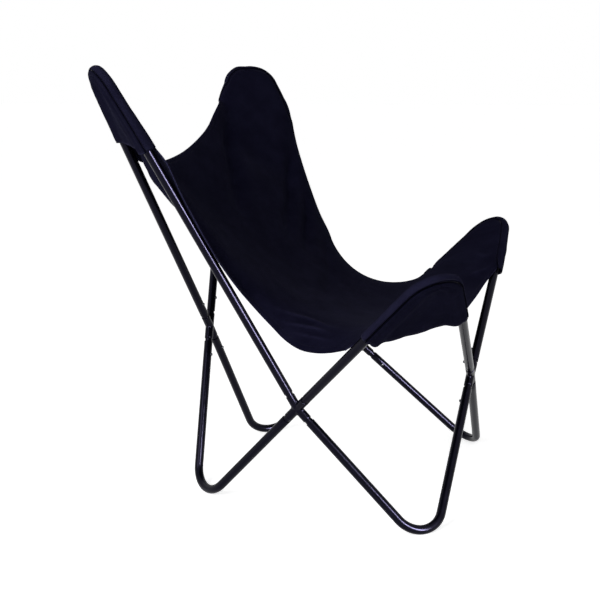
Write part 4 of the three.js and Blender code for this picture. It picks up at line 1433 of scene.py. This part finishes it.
def canvas_cloth():
    """Woven canvas: threads, slubs, mottling, rubs, painted highlights and painted seam shade."""
    made, tree, shader = new_finish("navy_canvas")
    finish, sizes = bpy.context.scene.chair_finish, bpy.context.scene.chair_sling
    place = node(tree, "ShaderNodeUVMap", {}, uv_map="cloth")
    threads, slubs = [], []
    for direction, stretch in (("X", (60.0, 1400.0, 1.0)), ("Y", (1400.0, 60.0, 1.0))):
        wave = node(tree, "ShaderNodeTexWave", {
            "Vector": place, "Scale": WAVE_REPEAT / sizes.weave, "Distortion": 0.25,
            "Detail": 1.0, "Detail Scale": 0.02}, "Fac", bands_direction=direction)
        threads.append(calc(tree, "SUBTRACT", wave, 0.5))
        stretched = node(tree, "ShaderNodeMapping", {"Vector": place, "Scale": stretch})
        slubs.append(specks(tree, stretched, 1.0, 2.0))
    weave = calc(tree, "ADD", calc(tree, "MULTIPLY", calc(tree, "MULTIPLY", *threads), 2.0), 0.5)
    slub = calc(tree, "MULTIPLY", calc(tree, "ADD", *slubs), 0.25)
    height = calc(tree, "ADD", calc(tree, "MULTIPLY", weave, 0.6), slub)
    wear = node(tree, "ShaderNodeAttribute", {}, "Fac", attribute_name="wear")
    patch = mapped(tree, specks(tree, place, 16.0, 6.0, 0.6), 0.35, 0.75, 0.0, 0.22)
    raised = mapped(tree, height, 0.25, 0.85, -0.08, 0.13)
    # Mottling, raised threads, rubs and painted highlights make the canvas paler
    amount = calc(tree, "ADD", calc(tree, "ADD", patch, raised), wear)
    shade = blended(tree, node(tree, "ShaderNodeClamp", {"Value": amount}),
                    tinted(finish.canvas), tinted(finish.worn_canvas))
    weave_bump = bumped(tree, height, 0.55, 0.0003)
    fill(tree, shader, {
        # Values below zero darken the colour towards black: painted shade in the open seams
        "Base Color": blended(tree, mapped(tree, wear, -1.0, 0.0, 0.25, 1.0), (0, 0, 0, 1), shade),
        "Roughness": mapped(tree, height, 0.2, 0.9, 0.95, 0.78),
        "Normal": bumped(tree, specks(tree, place, 55.0, 5.0, 0.6), 0.35, 0.0016,
                         Normal=weave_bump),
        "Specular IOR Level": 0.0, "Sheen Weight": 0.035, "Sheen Roughness": 0.45,
        "Sheen Tint": (0.55, 0.55, 0.85, 1),
    })
    return made


def sewing_thread():
    """Twisted thread a shade lighter than the canvas."""
    made, tree, shader = new_finish("navy_thread")
    colour = bpy.context.scene.chair_finish.canvas
    twist = specks(tree, on_object(tree), 2400.0, 2.0)
    fill(tree, shader, {
        "Base Color": blended(tree, twist, tinted(colour), tinted(colour, 1.6)),
        "Roughness": 0.8, "Specular IOR Level": 0.05,
    })
    return made


def seen_as_background(tree):
    """1 where a ray comes from the camera, a reflection or a see-through surface."""
    path = tree.nodes.new("ShaderNodeLightPath")
    seen = calc(tree, "MAXIMUM", path.outputs["Is Camera Ray"], path.outputs["Is Glossy Ray"])
    return calc(tree, "MAXIMUM", seen, path.outputs["Is Transmission Ray"])


def studio_floor(colour):
    """A pale floor that shines on its own where it is seen, so that it fades into the room."""
    made, tree, shader = new_finish("studio_floor")
    grain = specks(tree, on_object(tree), 3.0, 3.0)
    fill(tree, shader, {
        "Base Color": blended(tree, grain, tinted(colour), tinted(colour, 1.01)),
        "Roughness": 0.9, "Specular IOR Level": 0.1, "Emission Color": (1, 1, 1, 1),
        "Emission Strength": calc(tree, "MULTIPLY", seen_as_background(tree), FLOOR_GLOW),
    })
    return made


class CHAIR_OT_stage(bpy.types.Operator):
    """Makes the floor, the lamps, the room light and the camera"""

    bl_idname = "sling_chair.stage"
    bl_label = "Studio"

    def execute(self, context):
        """Sets the plain pale stage and the camera at the photograph's viewpoint."""
        studio = context.scene.chair_studio
        bm = bmesh.new()
        bmesh.ops.create_grid(bm, x_segments=1, y_segments=1, size=FLOOR_REACH)
        floor = added("studio_floor", mesh_from(bm, "studio_floor"))
        floor.data.materials.append(studio_floor(studio.floor_colour))
        self.room(context, studio.sky)
        for name, (place, size) in LAMPS.items():
            lamp = bpy.data.lights.new(name, "AREA")
            lamp.shape, lamp.energy = "RECTANGLE", getattr(studio, f"{name}_power")
            lamp.size, lamp.size_y = size
            holder = added(name, lamp)
            away = Vector(place) - Vector(LAMP_AIM)
            holder.matrix_world = basis(place, away, away.cross(LAMP_UP))
            holder.visible_diffuse = name != "strip"
        self.camera(context)
        context.scene.view_settings.view_transform = "Standard"
        return {"FINISHED"}

    def room(self, context, strength):
        """An even pale room, white where it is seen."""
        world = bpy.data.worlds.new("studio_room")
        world.use_nodes = True
        tree = world.node_tree
        fill(tree, tree.nodes["Background"], {
            "Color": (1, 1, 1, 1),
            "Strength": mapped(tree, seen_as_background(tree), 0, 1, strength, 1.0),
        })
        context.scene.world = world

    def camera(self, context):
        """Sets up the fitted camera."""
        yaw, pitch, roll = map(math.radians, (CAMERA_YAW, CAMERA_PITCH, CAMERA_ROLL))
        ahead = Vector((math.cos(pitch) * math.cos(yaw), math.cos(pitch) * math.sin(yaw),
                        -math.sin(pitch)))
        right = ahead.cross(Vector((0, 0, 1))).normalized()
        right = right * math.cos(roll) + right.cross(ahead) * math.sin(roll)
        lens = bpy.data.cameras.new("photo_view")
        lens.lens, lens.sensor_width = CAMERA_LENS, CAMERA_SENSOR
        holder = added("photo_view", lens)
        holder.matrix_world = basis(Vector(PLAN_ORIGIN) + Vector(CAMERA_PLACE), -ahead, right)
        context.scene.camera = holder


class CHAIR_PT_sidebar(bpy.types.Panel):
    """Shows the settings and the operators of the chair in the sidebar"""

    bl_idname = "CHAIR_PT_sidebar"
    bl_label = "Butterfly sling chair"
    bl_space_type = "VIEW_3D"
    bl_region_type = "UI"
    bl_category = "Sling chair"

    def draw(self, context):
        for group in ("chair_tube", "chair_sling", "chair_finish", "chair_studio"):
            box = self.layout.box()
            settings = getattr(context.scene, group)
            for key in settings.__annotations__:
                box.prop(settings, key)
        for made in OPERATORS:
            self.layout.operator(made.bl_idname)


SETTINGS = {
    "chair_tube": ChairTubeSizes, "chair_sling": ChairSlingSizes,
    "chair_finish": ChairFinish, "chair_studio": ChairStudio,
}
OPERATORS = (CHAIR_OT_bows, CHAIR_OT_crosses, CHAIR_OT_buttons, CHAIR_OT_sling, CHAIR_OT_stage)


def register():
    for made in (*SETTINGS.values(), *OPERATORS, CHAIR_PT_sidebar):
        bpy.utils.register_class(made)
    for name, made in SETTINGS.items():
        setattr(bpy.types.Scene, name, PointerProperty(type=made))


def unregister():
    for name in SETTINGS:
        delattr(bpy.types.Scene, name)
    for made in reversed((*SETTINGS.values(), *OPERATORS, CHAIR_PT_sidebar)):
        bpy.utils.unregister_class(made)


def main():
    """Makes the whole chair on its stage."""
    register()
    bpy.ops.sling_chair.bows()
    bpy.ops.sling_chair.crosses()
    bpy.ops.sling_chair.buttons()
    bpy.ops.sling_chair.sling()
    bpy.ops.sling_chair.stage()


if __name__ == "__main__":
    main()
